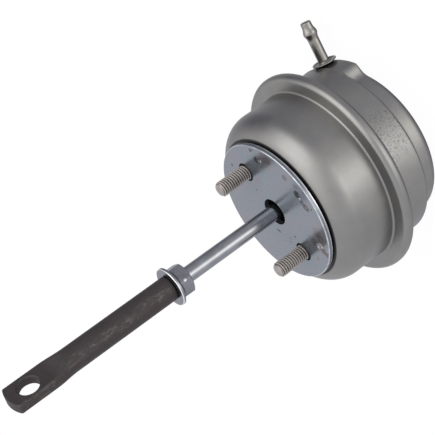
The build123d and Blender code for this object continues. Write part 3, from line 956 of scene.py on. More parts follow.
@dataclass(frozen=True)
class BlackFinish(Finish):
    """Black-brown oxide on forged steel, with pale rubs where it has slid on other parts."""

    cloud_scale: float = 150.0
    cloud_spread: float = 0.18
    brown_tint: Colour = (1.3, 1.08, 1.0)
    pore_colour: Colour = (0.02, 0.018, 0.018)
    pore_scale: float = 1900.0
    pore_edges: Pair = (0.56, 0.7)
    pore_share: float = 0.5
    pit_scale: float = 1300.0
    pit_filling: float = 0.3
    rub_colour: Colour = (0.24, 0.225, 0.2)
    rub_stretch: Triple = (1.0, 1.0, 0.45)
    rub_scale: float = 620.0
    rub_edges: Pair = (0.47, 0.66)
    rub_share: float = 0.24
    rub_shine: float = 0.4
    line_scale: float = 400.0
    line_width: float = 0.012
    line_patchiness: float = 0.5
    stray_scale: float = 150.0
    stray_width: float = 0.007
    stray_patchiness: float = 0.6
    stray_share: float = 0.55
    blade_start: float = 0.1015
    bar_fade: float = 0.008
    blade_fade: Pair = (0.004, 0.002)
    front_direction: Pair = (0.156, 0.988)
    front_width: float = 0.1
    back_direction: Pair = (-0.42, -0.907)
    back_width: float = 0.07
    back_share: float = 0.7
    blade_direction: Pair = (0.695, 0.719)
    blade_edges: Pair = (0.0043, 0.0058)
    blade_share: float = 0.75
    wander_scale: float = 230.0
    wander_reach: float = 0.0011
    band_gaps: Pair = (0.0007, 0.0006)
    bar_radius: float = 0.00475
    relief_depth: float = 0.00005

    def band(self, sheet: MaterialSheet, direction: Pair, width: float) -> Socket:
        """Lengthwise band on one side of the bar, whose edges wander.

        Args:
            sheet: The material's nodes.
            direction: X and Y of the way that the side faces.
            width: Share of the bar's radius that the band takes.

        Returns:
            Its mask.
        """
        wander = sheet.times(sheet.noise(sheet.place, self.wander_scale, 3.0), self.wander_reach)
        reach = sheet.minus(sheet.facing(sheet.place, (*direction, 0.0)), wander)
        start_gap, end_gap = self.band_gaps
        start, end = self.bar_radius * (1 - width) - start_gap, self.bar_radius - end_gap
        return sheet.rise(reach, start, end)

    def worn(self, sheet: MaterialSheet) -> Socket:
        """Where the bar's two sides and the blade's edges have been rubbed.

        Args:
            sheet: The material's nodes.

        Returns:
            The places' mask.
        """
        height = sheet.parts(sheet.place)[2]
        front = self.band(sheet, self.front_direction, self.front_width)
        back = sheet.times(self.band(sheet, self.back_direction, self.back_width), self.back_share)
        on_bar = sheet.rise(height, self.blade_start, self.blade_start - self.bar_fade)
        along_bar = sheet.times(sheet.larger(front, back), on_bar)
        edge = sheet.math("ABSOLUTE", sheet.facing(sheet.place, (*self.blade_direction, 0.0)))
        before, after = self.blade_fade
        on_blade = sheet.rise(height, self.blade_start - before, self.blade_start + after)
        by_edge = sheet.times(sheet.rise(edge, *self.blade_edges), on_blade)
        return sheet.larger(along_bar, sheet.times(by_edge, self.blade_share))

    def dress(self, sheet: MaterialSheet) -> None:
        """Gives the oxide its brown clouds, pores, rubs and pits.

        Args:
            sheet: The material's nodes.
        """
        clouds = self.clouds(sheet, self.cloud_scale, self.cloud_spread)
        clouded = sheet.blend(clouds, self.colour, tinted(self.colour, self.brown_tint))
        pores = sheet.rise(sheet.noise(sheet.place, self.pore_scale, 3.0, 0.65), *self.pore_edges)
        oxide = sheet.blend(sheet.times(pores, self.pore_share), clouded, self.pore_colour)
        lengthened = sheet.scaled(sheet.place, self.rub_stretch)
        smears = sheet.rise(sheet.noise(lengthened, self.rub_scale, 5.0, 0.7), *self.rub_edges)
        rubs = sheet.times(smears, self.rub_share)
        lines = sheet.effect(
            self.shelf.streaks, vector=sheet.place, scale=self.line_scale, width=self.line_width,
            patchiness=self.line_patchiness,
        )
        rubbed = sheet.times(self.worn(sheet), sheet.larger(rubs, lines))
        stray = sheet.effect(
            self.shelf.streaks, vector=lengthened, scale=self.stray_scale, width=self.stray_width,
            patchiness=self.stray_patchiness,
        )
        pale = sheet.math("MAXIMUM", rubbed, sheet.times(stray, self.stray_share), clamp=True)
        sheet.colour(sheet.blend(pale, oxide, self.rub_colour))
        shine = sheet.times(pale, self.rub_shine)
        sheet.fed(sheet.surface, metallic=sheet.plus(shine, self.metallic))
        self.gloss(sheet, clouds)
        filling = sheet.times(pale, self.pit_filling)
        pitted = sheet.minus(sheet.noise(sheet.place, self.pit_scale, 4.0), filling)
        sheet.relief(pitted, self.relief_depth)


@dataclass(frozen=True)
class RubberFinish(Finish):
    """Matt black rubber with the weave of its fabric showing faintly."""

    cloud_scale: float = 120.0
    cloud_spread: float = 0.2
    bloom_share: float = 1.5
    weave_scale: float = 9000.0
    weave_depth: float = 0.00002

    def dress(self, sheet: MaterialSheet) -> None:
        """Gives the rubber its bloom, and a weave that is the sine of X times the sine of Y.

        Args:
            sheet: The material's nodes.
        """
        clouds = self.clouds(sheet, self.cloud_scale, self.cloud_spread)
        sheet.colour(sheet.blend(clouds, self.colour, shaded(self.colour, self.bloom_share)))
        self.gloss(sheet, clouds)
        x, y, _ = sheet.parts(sheet.place)
        waves = [sheet.math("SINE", sheet.times(part, self.weave_scale)) for part in (x, y)]
        sheet.relief(sheet.times(*waves), self.weave_depth)


# Sub-assemblies


@dataclass
class Dresser:
    """Puts finished pieces on their bodies and gives the frame's own nodes their materials."""

    materials: dict[Slot, bpy.types.Material]

    def place(self, piece: Piece, body: Body, slot: Slot, *nodes: str) -> None:
        """Gives a new piece its material and body, and hides the nodes that it stands for.

        Args:
            piece: The finished piece.
            body: The body that it rides on.
            slot: The slot that its finish comes from.
            *nodes: The nodes that it stands for.
        """
        piece.data.materials.clear()
        piece.data.materials.append(self.materials[slot])
        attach(piece, body.value)
        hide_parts(*nodes)
        log.info("%s: %d faces on %s", piece.name, len(piece.data.polygons), body.value)

    @staticmethod
    def shorten(piece: Piece, fixed_z: float, moving_z: float) -> None:
        """Gives a flexible piece its own copy of its mesh."""
        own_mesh(piece)

    def repaint(self, node: str, slot: Slot) -> None:
        """Gives one of the frame's own nodes its material.

        Args:
            node: Name of the node.
            slot: The slot that its finish comes from.
        """
        for material_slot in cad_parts[node].material_slots:
            material_slot.material = self.materials[slot]
        log.info("%s: keeps its shape, finish %s", node, slot.value)


@dataclass
class Can:
    """The pressed shells: nose, wall, flat flange and rolled rim, and the rear shell with its nipple seat."""

    sheet: float = 0.9
    nose_hole: float = 6.5
    nose_z: float = -2.0
    nose_round: float = 9.5
    wall: float = 35.5
    foot_round: float = 0.8
    rim_z: float = -25.3
    rim: float = 42.0
    rim_round: float = 1.9
    rim_back_z: float = -30.0
    rim_back_round: float = 2.2
    lip: float = 38.8
    stud_spacing: float = 36.0
    stud_hole: float = 3.35
    drill_front_z: float = -1.0
    drill_back_z: float = -4.0
    rear_flange: float = 40.4
    rear_flange_z: float = -29.1
    rear_flange_round: float = 1.0
    step_z: float = -43.9
    step_root_round: float = 2.4
    step_round: float = 1.4
    rear_wall: float = 31.5
    rear_z: float = -53.5
    rear_round: float = 3.9
    seat_angle: float = 160.8
    seat_half_width: float = 14.0
    seat_rear_z: float = -51.8
    seat_centre_z: float = -40.0
    seat_edge: float = 4.2
    seat_root: float = 2.8
    seat_root_start: float = 22.0
    seat_root_end: float = 29.0
    nipple_z: float = -47.2
    nipple_hole: float = 2.15
    nipple_drill_start: float = 30.0
    nipple_drill_end: float = 40.0
    columns: int = 256

    def build(self, dresser: Dresser) -> None:
        """Builds both shells and puts them on the can."""
        dresser.place(self.front_shell(), Body.CAN, Slot.SHELL, "front_can")
        dresser.place(self.rear_shell(), Body.CAN, Slot.SHELL, "rear_can")

    def front_shell(self) -> Piece:
        """Front shell: the bent sheet's section turned round the axis, with two holes for the studs.

        Returns:
            The shell.
        """
        path = rounded_path(
            [
                (self.nose_hole, self.nose_z, 0),
                (self.wall, self.nose_z, self.nose_round),
                (self.wall, self.rim_z, self.foot_round),
                (self.rim, self.rim_z, self.rim_round),
                (self.rim, self.rim_back_z, self.rim_back_round),
                (self.lip, self.rim_back_z, 0),
            ]
        )
        shell = piece_from_grid("front_shell", revolved(loop_of(path, self.sheet), self.columns))
        drills = []
        for side in (-1, 1):
            drill = self.drill("stud_drill", self.stud_hole, self.drill_front_z, self.drill_back_z)
            drills.append(turned(drill, Matrix.Translation((side * self.stud_spacing / 2 * MM, 0, 0))))
        cut(shell, drills)
        return shell

    @staticmethod
    def drill(name: str, radius: float, start: float, end: float) -> Piece:
        """Cylinder along the Z axis that cuts a hole, between two heights."""
        ends = np.array([(0, start), (radius, start), (radius, end), (0, end)])
        return piece_from_grid(name, revolved(ends, DRILL_COLUMNS))

    def rear_shell(self) -> Piece:
        """Rear shell with its raised seat, open towards the flange, with a hole for the nipple.

        Returns:
            The shell.
        """
        outside = self.rear_surface(0)
        inside = self.rear_surface(self.sheet)
        shell = piece_from_grid("rear_shell", np.concatenate([outside, inside[::-1]]))
        drill = self.drill("nipple_drill", self.nipple_hole, self.nipple_drill_start, self.nipple_drill_end)
        cut(shell, [turned(drill, nipple_turn(self.seat_angle, self.nipple_z))])
        return shell

    def rear_surface(self, inset: float) -> np.ndarray:
        """One side of the rear shell's sheet, from the closed end's middle to the flange's edge.

        Each point of the plain turned shell is pushed away from a centre on the axis until it meets the seat.
        The seat ends at the wall's cylinder, at two side planes and at a rear plane, and a ray leaves it at
        the nearest of them. The larger of the two distances is taken, eased at the root and at the edges.

        Args:
            inset: Distance inwards from the outer face.

        Returns:
            Array of rows by columns by 3.
        """
        wall, rear_wall = self.wall - inset, self.rear_wall - inset
        flange_z = self.rear_flange_z + inset
        path = rounded_path(
            [
                (0, self.rear_z + inset, 0),
                (rear_wall, self.rear_z + inset, self.rear_round - inset),
                (rear_wall, self.step_z + inset, self.step_root_round - inset),
                (wall, self.step_z + inset, self.step_round - inset),
                (wall, flange_z, self.rear_flange_round + inset),
                (self.rear_flange, flange_z, 0),
            ]
        )
        plain = revolved(path, self.columns)
        centre = np.array([0, 0, self.seat_centre_z])
        reach = np.linalg.norm(plain - centre, axis=-1)
        ray = (plain - centre) / reach[..., None]
        across = np.hypot(ray[..., 0], ray[..., 1])
        seat = radians(self.seat_angle)
        sideways = np.abs(ray[..., 1] * cos(seat) - ray[..., 0] * sin(seat))
        forwards = ray[..., 0] * cos(seat) + ray[..., 1] * sin(seat)
        backwards = np.maximum(-ray[..., 2], TINY)
        to_wall = wall / np.maximum(across, TINY)
        to_side = (self.seat_half_width - inset) / np.maximum(sideways, TINY)
        to_rear = (self.seat_centre_z - self.seat_rear_z - inset) / backwards
        to_seat = soft_min(soft_min(to_wall, to_side, self.seat_edge), to_rear, self.seat_edge)
        below_step = np.clip((self.step_z + self.step_round - plain[..., 2]) / self.step_round, 0, 1)
        off_axis = np.hypot(plain[..., 0], plain[..., 1])
        root = self.seat_root * below_step * smooth_step(off_axis, self.seat_root_start, self.seat_root_end)
        to_floor = (self.seat_centre_z - self.rear_z - inset) / backwards
        pushed = np.minimum(soft_max(reach, to_seat, root), np.maximum(to_floor, reach))
        pushed = np.where((forwards > 0) & (below_step > 0), pushed, reach)
        return centre + ray * pushed[..., None]


def nipple_turn(angle: float, height: float) -> Matrix:
    """Turn and lift that lays the Z axis of a piece along the nipple.

    Args:
        angle: The nipple's angle round the can, in degrees.
        height: Its height, in millimetres.

    Returns:
        The move, in metres.
    """
    outwards = Vector((cos(radians(angle)), sin(radians(angle)), 0))
    turn = outwards.to_track_quat("Z", "Y").to_matrix().to_4x4()
    return Matrix.Translation((0, 0, height * MM)) @ turn


@dataclass
class Nipple:
    """Hose nipple with its bead and open tip, and the dished collar round its foot."""

    angle: float = 160.8
    height: float = -47.2
    radius: float = 2.15
    bore: float = 1.3
    inner_end: float = 33.8
    inner_round: float = 0.15
    outer_end: float = 53.2
    outer_round: float = 0.4
    mouth_round: float = 0.3
    tip_radius: float = 2.05
    bead_radius: float = 2.72
    bead_centre: float = 48.8
    bead_half_length: float = 2.1
    bead_power: float = 0.8
    foot: float = 3.0
    foot_round: float = 0.4
    foot_fillet: float = 1.0
    braze_height: float = 1.5
    collar_radius: float = 4.8
    collar_base: float = 35.5
    collar_rise: float = 0.9
    collar_thickness: float = 0.6
    collar_back_round: float = 0.2
    collar_front_round: float = 0.25
    columns: int = 96

    def build(self, dresser: Dresser) -> None:
        """Builds the nipple and its collar and puts them on the can."""
        dresser.place(self.tube(), Body.CAN, Slot.NIPPLE, "hose_nipple")
        dresser.place(self.collar(), Body.CAN, Slot.NIPPLE, "nipple_collar")

    def tube(self) -> Piece:
        """Tube whose outside swells to a bead: the bead's rise times (0.5 + 0.5 cos(pi s)) to a power.

        The share s is the distance from the bead's centre over its half length, kept between -1 and 1.

        Returns:
            The tube, along the nipple.
        """
        section = rounded_path(
            [
                (self.bore, self.inner_end, 0),
                (self.radius, self.inner_end, self.inner_round),
                (self.radius, self.outer_end, self.outer_round),
                (self.bore, self.outer_end, self.mouth_round),
                (self.bore, self.inner_end, 0),
            ]
        )
        length = section[:, 1]
        share = np.clip((length - self.bead_centre) / self.bead_half_length, -1, 1)
        swell = (self.bead_radius - self.radius) * (0.5 + 0.5 * np.cos(pi * share)) ** self.bead_power
        taper = (self.radius - self.tip_radius) * smooth_step(length, self.bead_centre, self.outer_end)
        on_outside = section[:, 0] > (self.radius + self.bore) / 2
        radius = section[:, 0] + np.where(on_outside, swell - taper, 0)
        tube = piece_from_grid("nipple_tube", revolved(np.column_stack([radius, length]), self.columns))
        return turned(tube, nipple_turn(self.angle, self.height))

    def collar(self) -> Piece:
        """Dished collar: a rounded section turned round the nipple, with the braze fillet at its foot.

        Returns:
            The collar, along the nipple.
        """
        base, lift = self.collar_base, self.collar_base + self.collar_rise
        section = rounded_path(
            [
                (self.radius, base, 0),
                (self.foot, base, self.foot_round),
                (self.collar_radius, lift, self.collar_back_round),
                (self.collar_radius, lift + self.collar_thickness, self.collar_front_round),
                (self.foot, base + self.collar_thickness, self.foot_fillet),
                (self.radius, base + self.braze_height, 0),
                (self.radius, base, 0),
            ]
        )
        collar = piece_from_grid("nipple_washer", revolved(section, self.columns))
        return turned(collar, nipple_turn(self.angle, self.height))


@dataclass
class Stud:
    """Mounting stud: flat head and shoulder inside the can, and a rolled thread with a chamfered tip."""

    node: str
    centre_x: float
    start_angle: float
    crest: float = 3.0
    root: float = 2.46
    pitch: float = 1.0
    root_share: float = 0.14
    flank_share: float = 0.68
    crest_ease: float = 0.12
    thread_end: float = 12.95
    tip_chamfer: float = 0.75
    tip_length: float = 0.9
    tip_gap: float = 0.05
    tip_ease: float = 0.08
    tip_dome: float = 0.25
    head: float = 4.2
    head_z: float = -6.9
    head_round: float = 0.3
    carrier_z: float = -4.9
    carrier_round: float = 0.1
    shoulder: float = 3.3
    nose_z: float = -2.0
    relief: float = 2.55
    rows_per_turn: int = 20
    columns: int = 72

    def build(self, dresser: Dresser) -> None:
        """Builds the stud and puts it on the can."""
        dresser.place(self.body(), Body.CAN, Slot.STUD, self.node)

    def body(self) -> Piece:
        """Turned back part, helical thread and tip, as one grid whose thread rows climb one pitch a turn.

        Returns:
            The stud in its place.
        """
        angles = turn_angles(self.columns)[None, :]
        back = rounded_path(
            [
                (0, self.head_z, 0),
                (self.head, self.head_z, self.head_round),
                (self.head, self.carrier_z, self.carrier_round),
                (self.shoulder, self.carrier_z, 0),
                (self.shoulder, self.nose_z, 0),
                (self.relief, self.nose_z, 0),
                (self.relief, 0, 0),
            ]
        )
        lowest = -self.pitch
        rows = int(round((self.thread_end - lowest) / self.pitch * self.rows_per_turn))
        starts = np.linspace(lowest, self.thread_end, rows + 1)[:, None]
        height = np.clip(starts + self.pitch * angles / (2 * pi), 0, self.thread_end)
        radius = self.thread_radius(height, angles)
        thread = np.stack([radius * np.cos(angles), radius * np.sin(angles), height], axis=-1)
        edge = self.crest - self.tip_chamfer
        tip_rings = np.array([(share * edge, self.thread_end) for share in (0.92, 0.7, 0.4, 0)])
        cap = revolved(tip_rings, self.columns)
        cap[..., 2] += self.tip_dome * (1 - (np.hypot(cap[..., 0], cap[..., 1]) / edge) ** 2)
        grid = np.concatenate([revolved(back, self.columns), thread, cap])
        stud = piece_from_grid(self.node + "_thread", grid)
        return turned(stud, Matrix.Translation((self.centre_x * MM, 0, 0)))

    def thread_radius(self, height: np.ndarray, angles: np.ndarray) -> np.ndarray:
        """Radius of a rolled thread.

        The phase is the height over the pitch less the share of a turn. A triangle wave of the phase is cut
        flat at the crest and rounded at the root, and the tip's cone limits it.

        Args:
            height: Heights of the points.
            angles: Their angles round the stud.

        Returns:
            The radius at each point.
        """
        phase = height / self.pitch - (angles + self.start_angle) / (2 * pi)
        wave = 2 * np.abs(phase - np.floor(phase) - 0.5)
        flank = np.clip((wave - self.root_share) / self.flank_share, 0, 2)
        rise = soft_min(flank, np.ones_like(wave), self.crest_ease)
        radius = self.root + (self.crest - self.root) * np.maximum(rise, 0)
        on_tip = smooth_step(height, self.thread_end - self.tip_length, self.thread_end)
        cone = self.crest + self.tip_gap - self.tip_chamfer * on_tip
        return soft_min(radius, cone, self.tip_ease)


@dataclass
class LockNut:
    """Hexagon nut with a conical flange, its corners chamfered and its edges worn round."""

    place_z: float = 43.3
    face_z: float = 50.2
    flange_z: float = 49.2
    cone_z: float = 47.4
    across_flats: float = 11.0
    corner_angle: float = 21.0
    corner_wear: float = 0.04
    corner_ease: float = 0.3
    chamfer_radius: float = 5.4
    chamfer_slope: float = 0.58
    side_ease: float = 0.35
    cone_radius: float = 5.0
    flange: float = 7.6
    bore: float = 3.05
    bore_round: float = 0.2
    edge_round: float = 0.3
    side_rows: int = 61
    rear_rows: int = 7
    rear_crowding: float = 0.7
    columns: int = 240

    def build(self, dresser: Dresser) -> None:
        """Builds the nut and puts it on its own body."""
        dresser.place(self.body(), Body.NUT, Slot.NUT, "lock_nut")

    def side_radius(self, height: np.ndarray, angles: np.ndarray) -> np.ndarray:
        """Radius of the nut's side.

        It is the smaller of the hexagon and the rear chamfer's cone, or the flange's cone where that is
        larger, and nowhere more than the flange. The hexagon's radius is half its width over cos w, where
        w is the angle from the nearest flat's middle.

        Args:
            height: Heights of the points, one row each.
            angles: Their angles, one column each.

        Returns:
            The radius at each point.
        """
        turn = np.mod(angles - radians(self.corner_angle), pi / 3) - pi / 6
        hexagon = self.across_flats / 2 / np.cos(turn)
        corner = self.across_flats / 2 / cos(pi / 6)
        hexagon = soft_min(hexagon, np.full_like(hexagon, corner - self.corner_wear), self.corner_ease)
        chamfer = self.chamfer_radius + (height - self.place_z) / self.chamfer_slope
        body = soft_min(hexagon + 0 * height, chamfer + 0 * angles, self.side_ease)
        slope = (self.flange - self.cone_radius) / (self.flange_z - self.cone_z)
        cone = self.cone_radius + (height - self.cone_z) * slope + 0 * angles
        return np.minimum(soft_max(body, cone, self.side_ease), self.flange)

    def body(self) -> Piece:
        """Nut as one closed grid: rear face, side, flange edge, front face and bore.

        Returns:
            The nut.
        """
        angles = turn_angles(self.columns)[None, :]
        side_z = np.linspace(self.place_z, self.flange_z, self.side_rows)[:, None]
        side = self.side_radius(side_z, angles)
        edge = rounded_path(
            [
                (self.flange, self.flange_z, 0),
                (self.flange, self.face_z, self.edge_round),
                (self.bore, self.face_z, self.bore_round),
                (self.bore, self.place_z, 0),
            ]
        )
        rear_share = (np.linspace(0, 1, self.rear_rows + 1)[:-1] ** self.rear_crowding)[:, None]
        rear = self.bore + (side[:1] - self.bore) * rear_share
        flat = np.ones_like(angles)
        radius = np.concatenate([rear, side, edge[1:, :1] * flat])
        height = np.concatenate([self.place_z * np.ones_like(rear), side_z * flat, edge[1:, 1:] * flat])
        grid = np.stack([radius * np.cos(angles), radius * np.sin(angles), height], axis=-1)
        return piece_from_grid("flange_nut", grid)


@dataclass
class EyeEnd:
    """Black eye end: a threaded round bar drawn down to a flat blade with a rounded tip and an eye."""

    start_z: float = 50.3
    bore: float = 3.05
    bore_end_z: float = 72.0
    bore_round: float = 0.3
    bar: float = 4.75
    bar_chamfer: float = 0.35
    bar_round: float = 0.15
    bar_end_z: float = 94.5
    blade_z: float = 103.5
    blade_half_width: float = 6.0
    blade_half_thickness: float = 2.0
    blade_edge: float = 0.9
    blade_angle: float = 46.0
    tip_z: float = 119.6
    corner_z: float = 118.0
    tip_round: float = 0.35
    eye_z: float = 111.1
    eye_radius: float = 4.0
    eye_chamfer: float = 0.5
    eye_drill_reach: float = 4.0
    quarter_points: int = 11
    side_steps: tuple[int, int] = (24, 8)
    drawn_rows: int = 18
    blade_rows: int = 33
    lip_rows: int = 5

    def build(self, dresser: Dresser) -> None:
        """Builds the eye end and puts it on its own body."""
        dresser.place(self.body(), Body.EYE, Slot.BLACK, "rod_end")

    def ring(self, half_width: np.ndarray, half_thickness: np.ndarray, corner: np.ndarray) -> np.ndarray:
        """Rings of rounded rectangles, all with the same number of points.

        Four quarter rounds sit at the corners of an inner rectangle, and the sides between them are divided
        evenly. Where the inner rectangle has no size, the ring is a circle whose sides fall together.

        Args:
            half_width: Half of each rectangle's width.
            half_thickness: Half of its thickness.
            corner: Radius of its corners.

        Returns:
            Array of rings by points by 2, the last point on top of the first.
        """
        quarter = np.linspace(0, pi / 2, self.quarter_points)
        inner_x, inner_y = (half_width - corner)[:, None], (half_thickness - corner)[:, None]
        stretches = []
        signs = [(1, 1), (-1, 1), (-1, -1), (1, -1)]
        for turn, (sign_x, sign_y) in enumerate(signs):
            next_x, next_y = signs[(turn + 1) % 4]
            swing = quarter + turn * pi / 2
            arc_x = sign_x * inner_x + corner[:, None] * np.cos(swing)
            arc_y = sign_y * inner_y + corner[:, None] * np.sin(swing)
            share = np.linspace(0, 1, self.side_steps[turn % 2] + 1)[1:-1]
            start = np.stack([arc_x[:, -1:], arc_y[:, -1:]], axis=-1)
            end_x = next_x * inner_x + corner[:, None] * np.cos(swing[-1])
            end_y = next_y * inner_y + corner[:, None] * np.sin(swing[-1])
            run = start + share[:, None] * (np.stack([end_x, end_y], axis=-1) - start)
            stretches += [np.stack([arc_x, arc_y], axis=-1), run]
        rings = np.concatenate(stretches, axis=1)
        return np.concatenate([rings, rings[:, :1]], axis=1)

    def tip_height(self, across: np.ndarray) -> np.ndarray:
        """Height of the rounded tip, on a circle through the tip and both corners.

        Args:
            across: Distances from the blade's middle.

        Returns:
            The height at each of them.
        """
        rise = self.tip_z - self.corner_z
        radius = (self.blade_half_width**2 + rise**2) / (2 * rise)
        return self.tip_z - radius + np.sqrt(radius**2 - across**2)

    def body(self) -> Piece:
        """Bar, drawn part and blade as one stack of rings.

        Along the drawn part, each ring measure goes from the bar's to the blade's by a smooth step. The
        blade's rows are stretched to the rounded tip, whose lip is a quarter round, and the last rings
        shrink to the middle.

        Returns:
            The eye end, turned about the rod's axis.
        """
        socket = rounded_path(
            [
                (0, self.bore_end_z, 0),
                (self.bore, self.bore_end_z, 0),
                (self.bore, self.start_z, self.bore_round),
                (self.bar - self.bar_chamfer, self.start_z, self.bar_round),
                (self.bar, self.start_z + self.bar_chamfer, self.bar_round),
                (self.bar, self.bar_end_z, 0),
            ]
        )
        drawn = np.linspace(0, 1, self.drawn_rows + 1)[1:]
        blade = np.linspace(0, 1, self.blade_rows + 1)[1:]
        lip = np.linspace(0, pi / 2, self.lip_rows + 1)[1:]
        cap = np.array([0.8, 0.5, 0.2, 0.0])
        eased = drawn * drawn * (3 - 2 * drawn)
        inward = self.tip_round * (1 - np.cos(lip))

        def along(blade_size: float) -> np.ndarray:
            """One ring measure of all rows, from the socket's radius to the blade's size and its lip.

            Args:
                blade_size: The measure along the blade.

            Returns:
                The measure at each row.
            """
            stretched = self.bar + (blade_size - self.bar) * eased
            return np.concatenate(
                [socket[:, 0], stretched, blade_size * np.ones_like(blade), blade_size - inward]
            )

        width, thick = along(self.blade_half_width), along(self.blade_half_thickness)
        corner = np.minimum(along(self.blade_edge), np.minimum(width, thick))
        rings = self.ring(width, thick, corner)
        rings = np.concatenate([rings, rings[-1:] * cap[:, None, None]])
        base = np.concatenate([socket[:, 1], self.bar_end_z + (self.blade_z - self.bar_end_z) * drawn])
        tip = self.tip_height(rings[..., 0])
        blade_start, blade_end = len(base), len(base) + len(blade)
        on_base = np.repeat(base[:, None], rings.shape[1], axis=1)
        blade_rise = tip[blade_start:blade_end] - self.tip_round - self.blade_z
        on_blade = self.blade_z + blade[:, None] * blade_rise
        lip_rise = np.concatenate([self.tip_round * (np.sin(lip) - 1), np.zeros(len(cap))])
        on_tip = tip[blade_end:] + lip_rise[:, None]
        height = np.concatenate([on_base, on_blade, on_tip])
        eye_end = piece_from_grid("eye_bar", np.concatenate([rings, height[..., None]], axis=-1))
        cut(eye_end, [self.eye_drill()])
        return turned(eye_end, Matrix.Rotation(radians(self.blade_angle), 4, "Z"))

    def eye_drill(self) -> Piece:
        """Drill of the eye, whose radius grows by as much as it stands out past the start of the chamfer.

        Returns:
            The drill, across the blade.
        """
        chamfer_start = self.blade_half_thickness - self.eye_chamfer
        depth = np.array([-self.eye_drill_reach, -chamfer_start, chamfer_start, self.eye_drill_reach])
        radius = self.eye_radius + np.maximum(np.abs(depth) - chamfer_start, 0)
        profile = np.vstack([(0, depth[0]), np.column_stack([radius, depth]), (0, depth[-1])])
        drill = piece_from_grid("eye_drill", revolved(profile, 2 * DRILL_COLUMNS))
        lay = Matrix.Translation((0, 0, self.eye_z * MM)) @ Matrix.Rotation(radians(90), 4, "X")
        return turned(drill, lay)


@dataclass
class ReturnSpring:
    """Coil spring with ground ends between the seat ring and the piston."""

    seat_z: float = -5.7
    piston_z: float = -46.9
    mean_radius: float = 24.1
    wire_radius: float = 1.5
    turns: float = 6.0
    end_sink: float = 0.5
    steps_per_turn: int = 72
    columns: int = 24

    def build(self, dresser: Dresser) -> None:
        """Builds the coil, puts it on the can and gives it its own copy of its mesh.

        Args:
            dresser: Puts it on its body.
        """
        coil = self.coil()
        dresser.place(coil, Body.CAN, Slot.SPRING, "return_spring")
        dresser.shorten(coil, self.seat_z, self.piston_z)

    def coil(self) -> Piece:
        """Round wire along a helix, its ends cut flat by the seat's and the piston's faces.

        A ring point is the helix point plus the wire's radius times cos b outwards and sin b across the wire,
        and its height is kept between the two faces.

        Returns:
            The coil.
        """
        low, high = self.piston_z + self.end_sink, self.seat_z - self.end_sink
        share = np.linspace(0, 1, int(self.turns * self.steps_per_turn) + 1)[:, None]
        angle = 2 * pi * self.turns * share
        climb = (high - low) / (2 * pi * self.turns)
        none = 0 * angle
        outwards = np.stack([np.cos(angle), np.sin(angle), none], axis=-1)
        along = unit(np.stack([-np.sin(angle), np.cos(angle), climb / self.mean_radius + none], axis=-1))
        across = np.cross(along, outwards)
        centre = self.mean_radius * outwards + np.stack([none, none, low + (high - low) * share], axis=-1)
        ring = turn_angles(self.columns)[None, :, None]
        wire = centre + self.wire_radius * (np.cos(ring) * outwards + np.sin(ring) * across)
        ends = centre + 0 * ring
        grid = np.concatenate([ends[:1], wire, ends[-1:]])
        grid[..., 2] = np.clip(grid[..., 2], self.piston_z, self.seat_z)
        return piece_from_grid("spring_coil", grid)


@dataclass
class Diaphragm:
    """Rubber diaphragm: centre disc behind the piston, sloping flank and the bead clamped in the rim."""

    hole: float = 2.55
    back_z: float = -48.9
    bottom: float = 28.6
    bottom_round: float = 3.0
    shoulder: float = 33.6
    shoulder_round: float = 1.5
    clamp_z: float = -28.2
    thickness: float = 1.0
    bead_inner: float = 39.95
    bead_outer: float = 40.9
    bead_top_z: float = -26.6
    bead_back_round: float = 0.1
    bead_round: float = 0.35
    columns: int = 192

    def build(self, dresser: Dresser) -> None:
        """Builds the rubber, puts it on the can and gives it its own copy of its mesh.

        Args:
            dresser: Puts it on its body.
        """
        rubber = piece_from_grid("diaphragm_sheet", revolved(self.section(), self.columns))
        dresser.place(rubber, Body.CAN, Slot.RUBBER, "diaphragm")
        dresser.shorten(rubber, self.clamp_z, self.back_z)

    def section(self) -> np.ndarray:
        """Closed section: the back line out to the bead, round the bead, and the back line's copy home.

        Returns:
            Radius and height of each point.
        """
        back = rounded_path(
            [
                (self.hole, self.back_z, 0),
                (self.bottom, self.back_z, self.bottom_round),
                (self.shoulder, self.clamp_z, self.shoulder_round),
                (self.bead_inner, self.clamp_z, 0),
            ]
        )
        bead = rounded_path(
            [
                (self.bead_inner, self.clamp_z, 0),
                (self.bead_outer, self.clamp_z, self.bead_back_round),
                (self.bead_outer, self.bead_top_z, self.bead_round),
                (self.bead_inner, self.bead_top_z, self.bead_round),
                (self.bead_inner, self.clamp_z + self.thickness, 0),
            ]
        )
        front = shifted_path(back, -self.thickness)[::-1]
        return np.vstack([back[:-1], bead, front[1:], back[:1]])


# Studio


WARM = (1.0, 0.985, 0.92)
CREAM = (1.0, 0.99, 0.94)
IVORY = (1.0, 0.99, 0.96)
WHITE = (1.0, 1.0, 1.0)


@dataclass(frozen=True)
class Panel:
    """A soft light panel, or a dark one if negative, seen from the object in one direction."""

    direction: Triple
    strength: float
    sharpness: float
    tint: Colour = WHITE


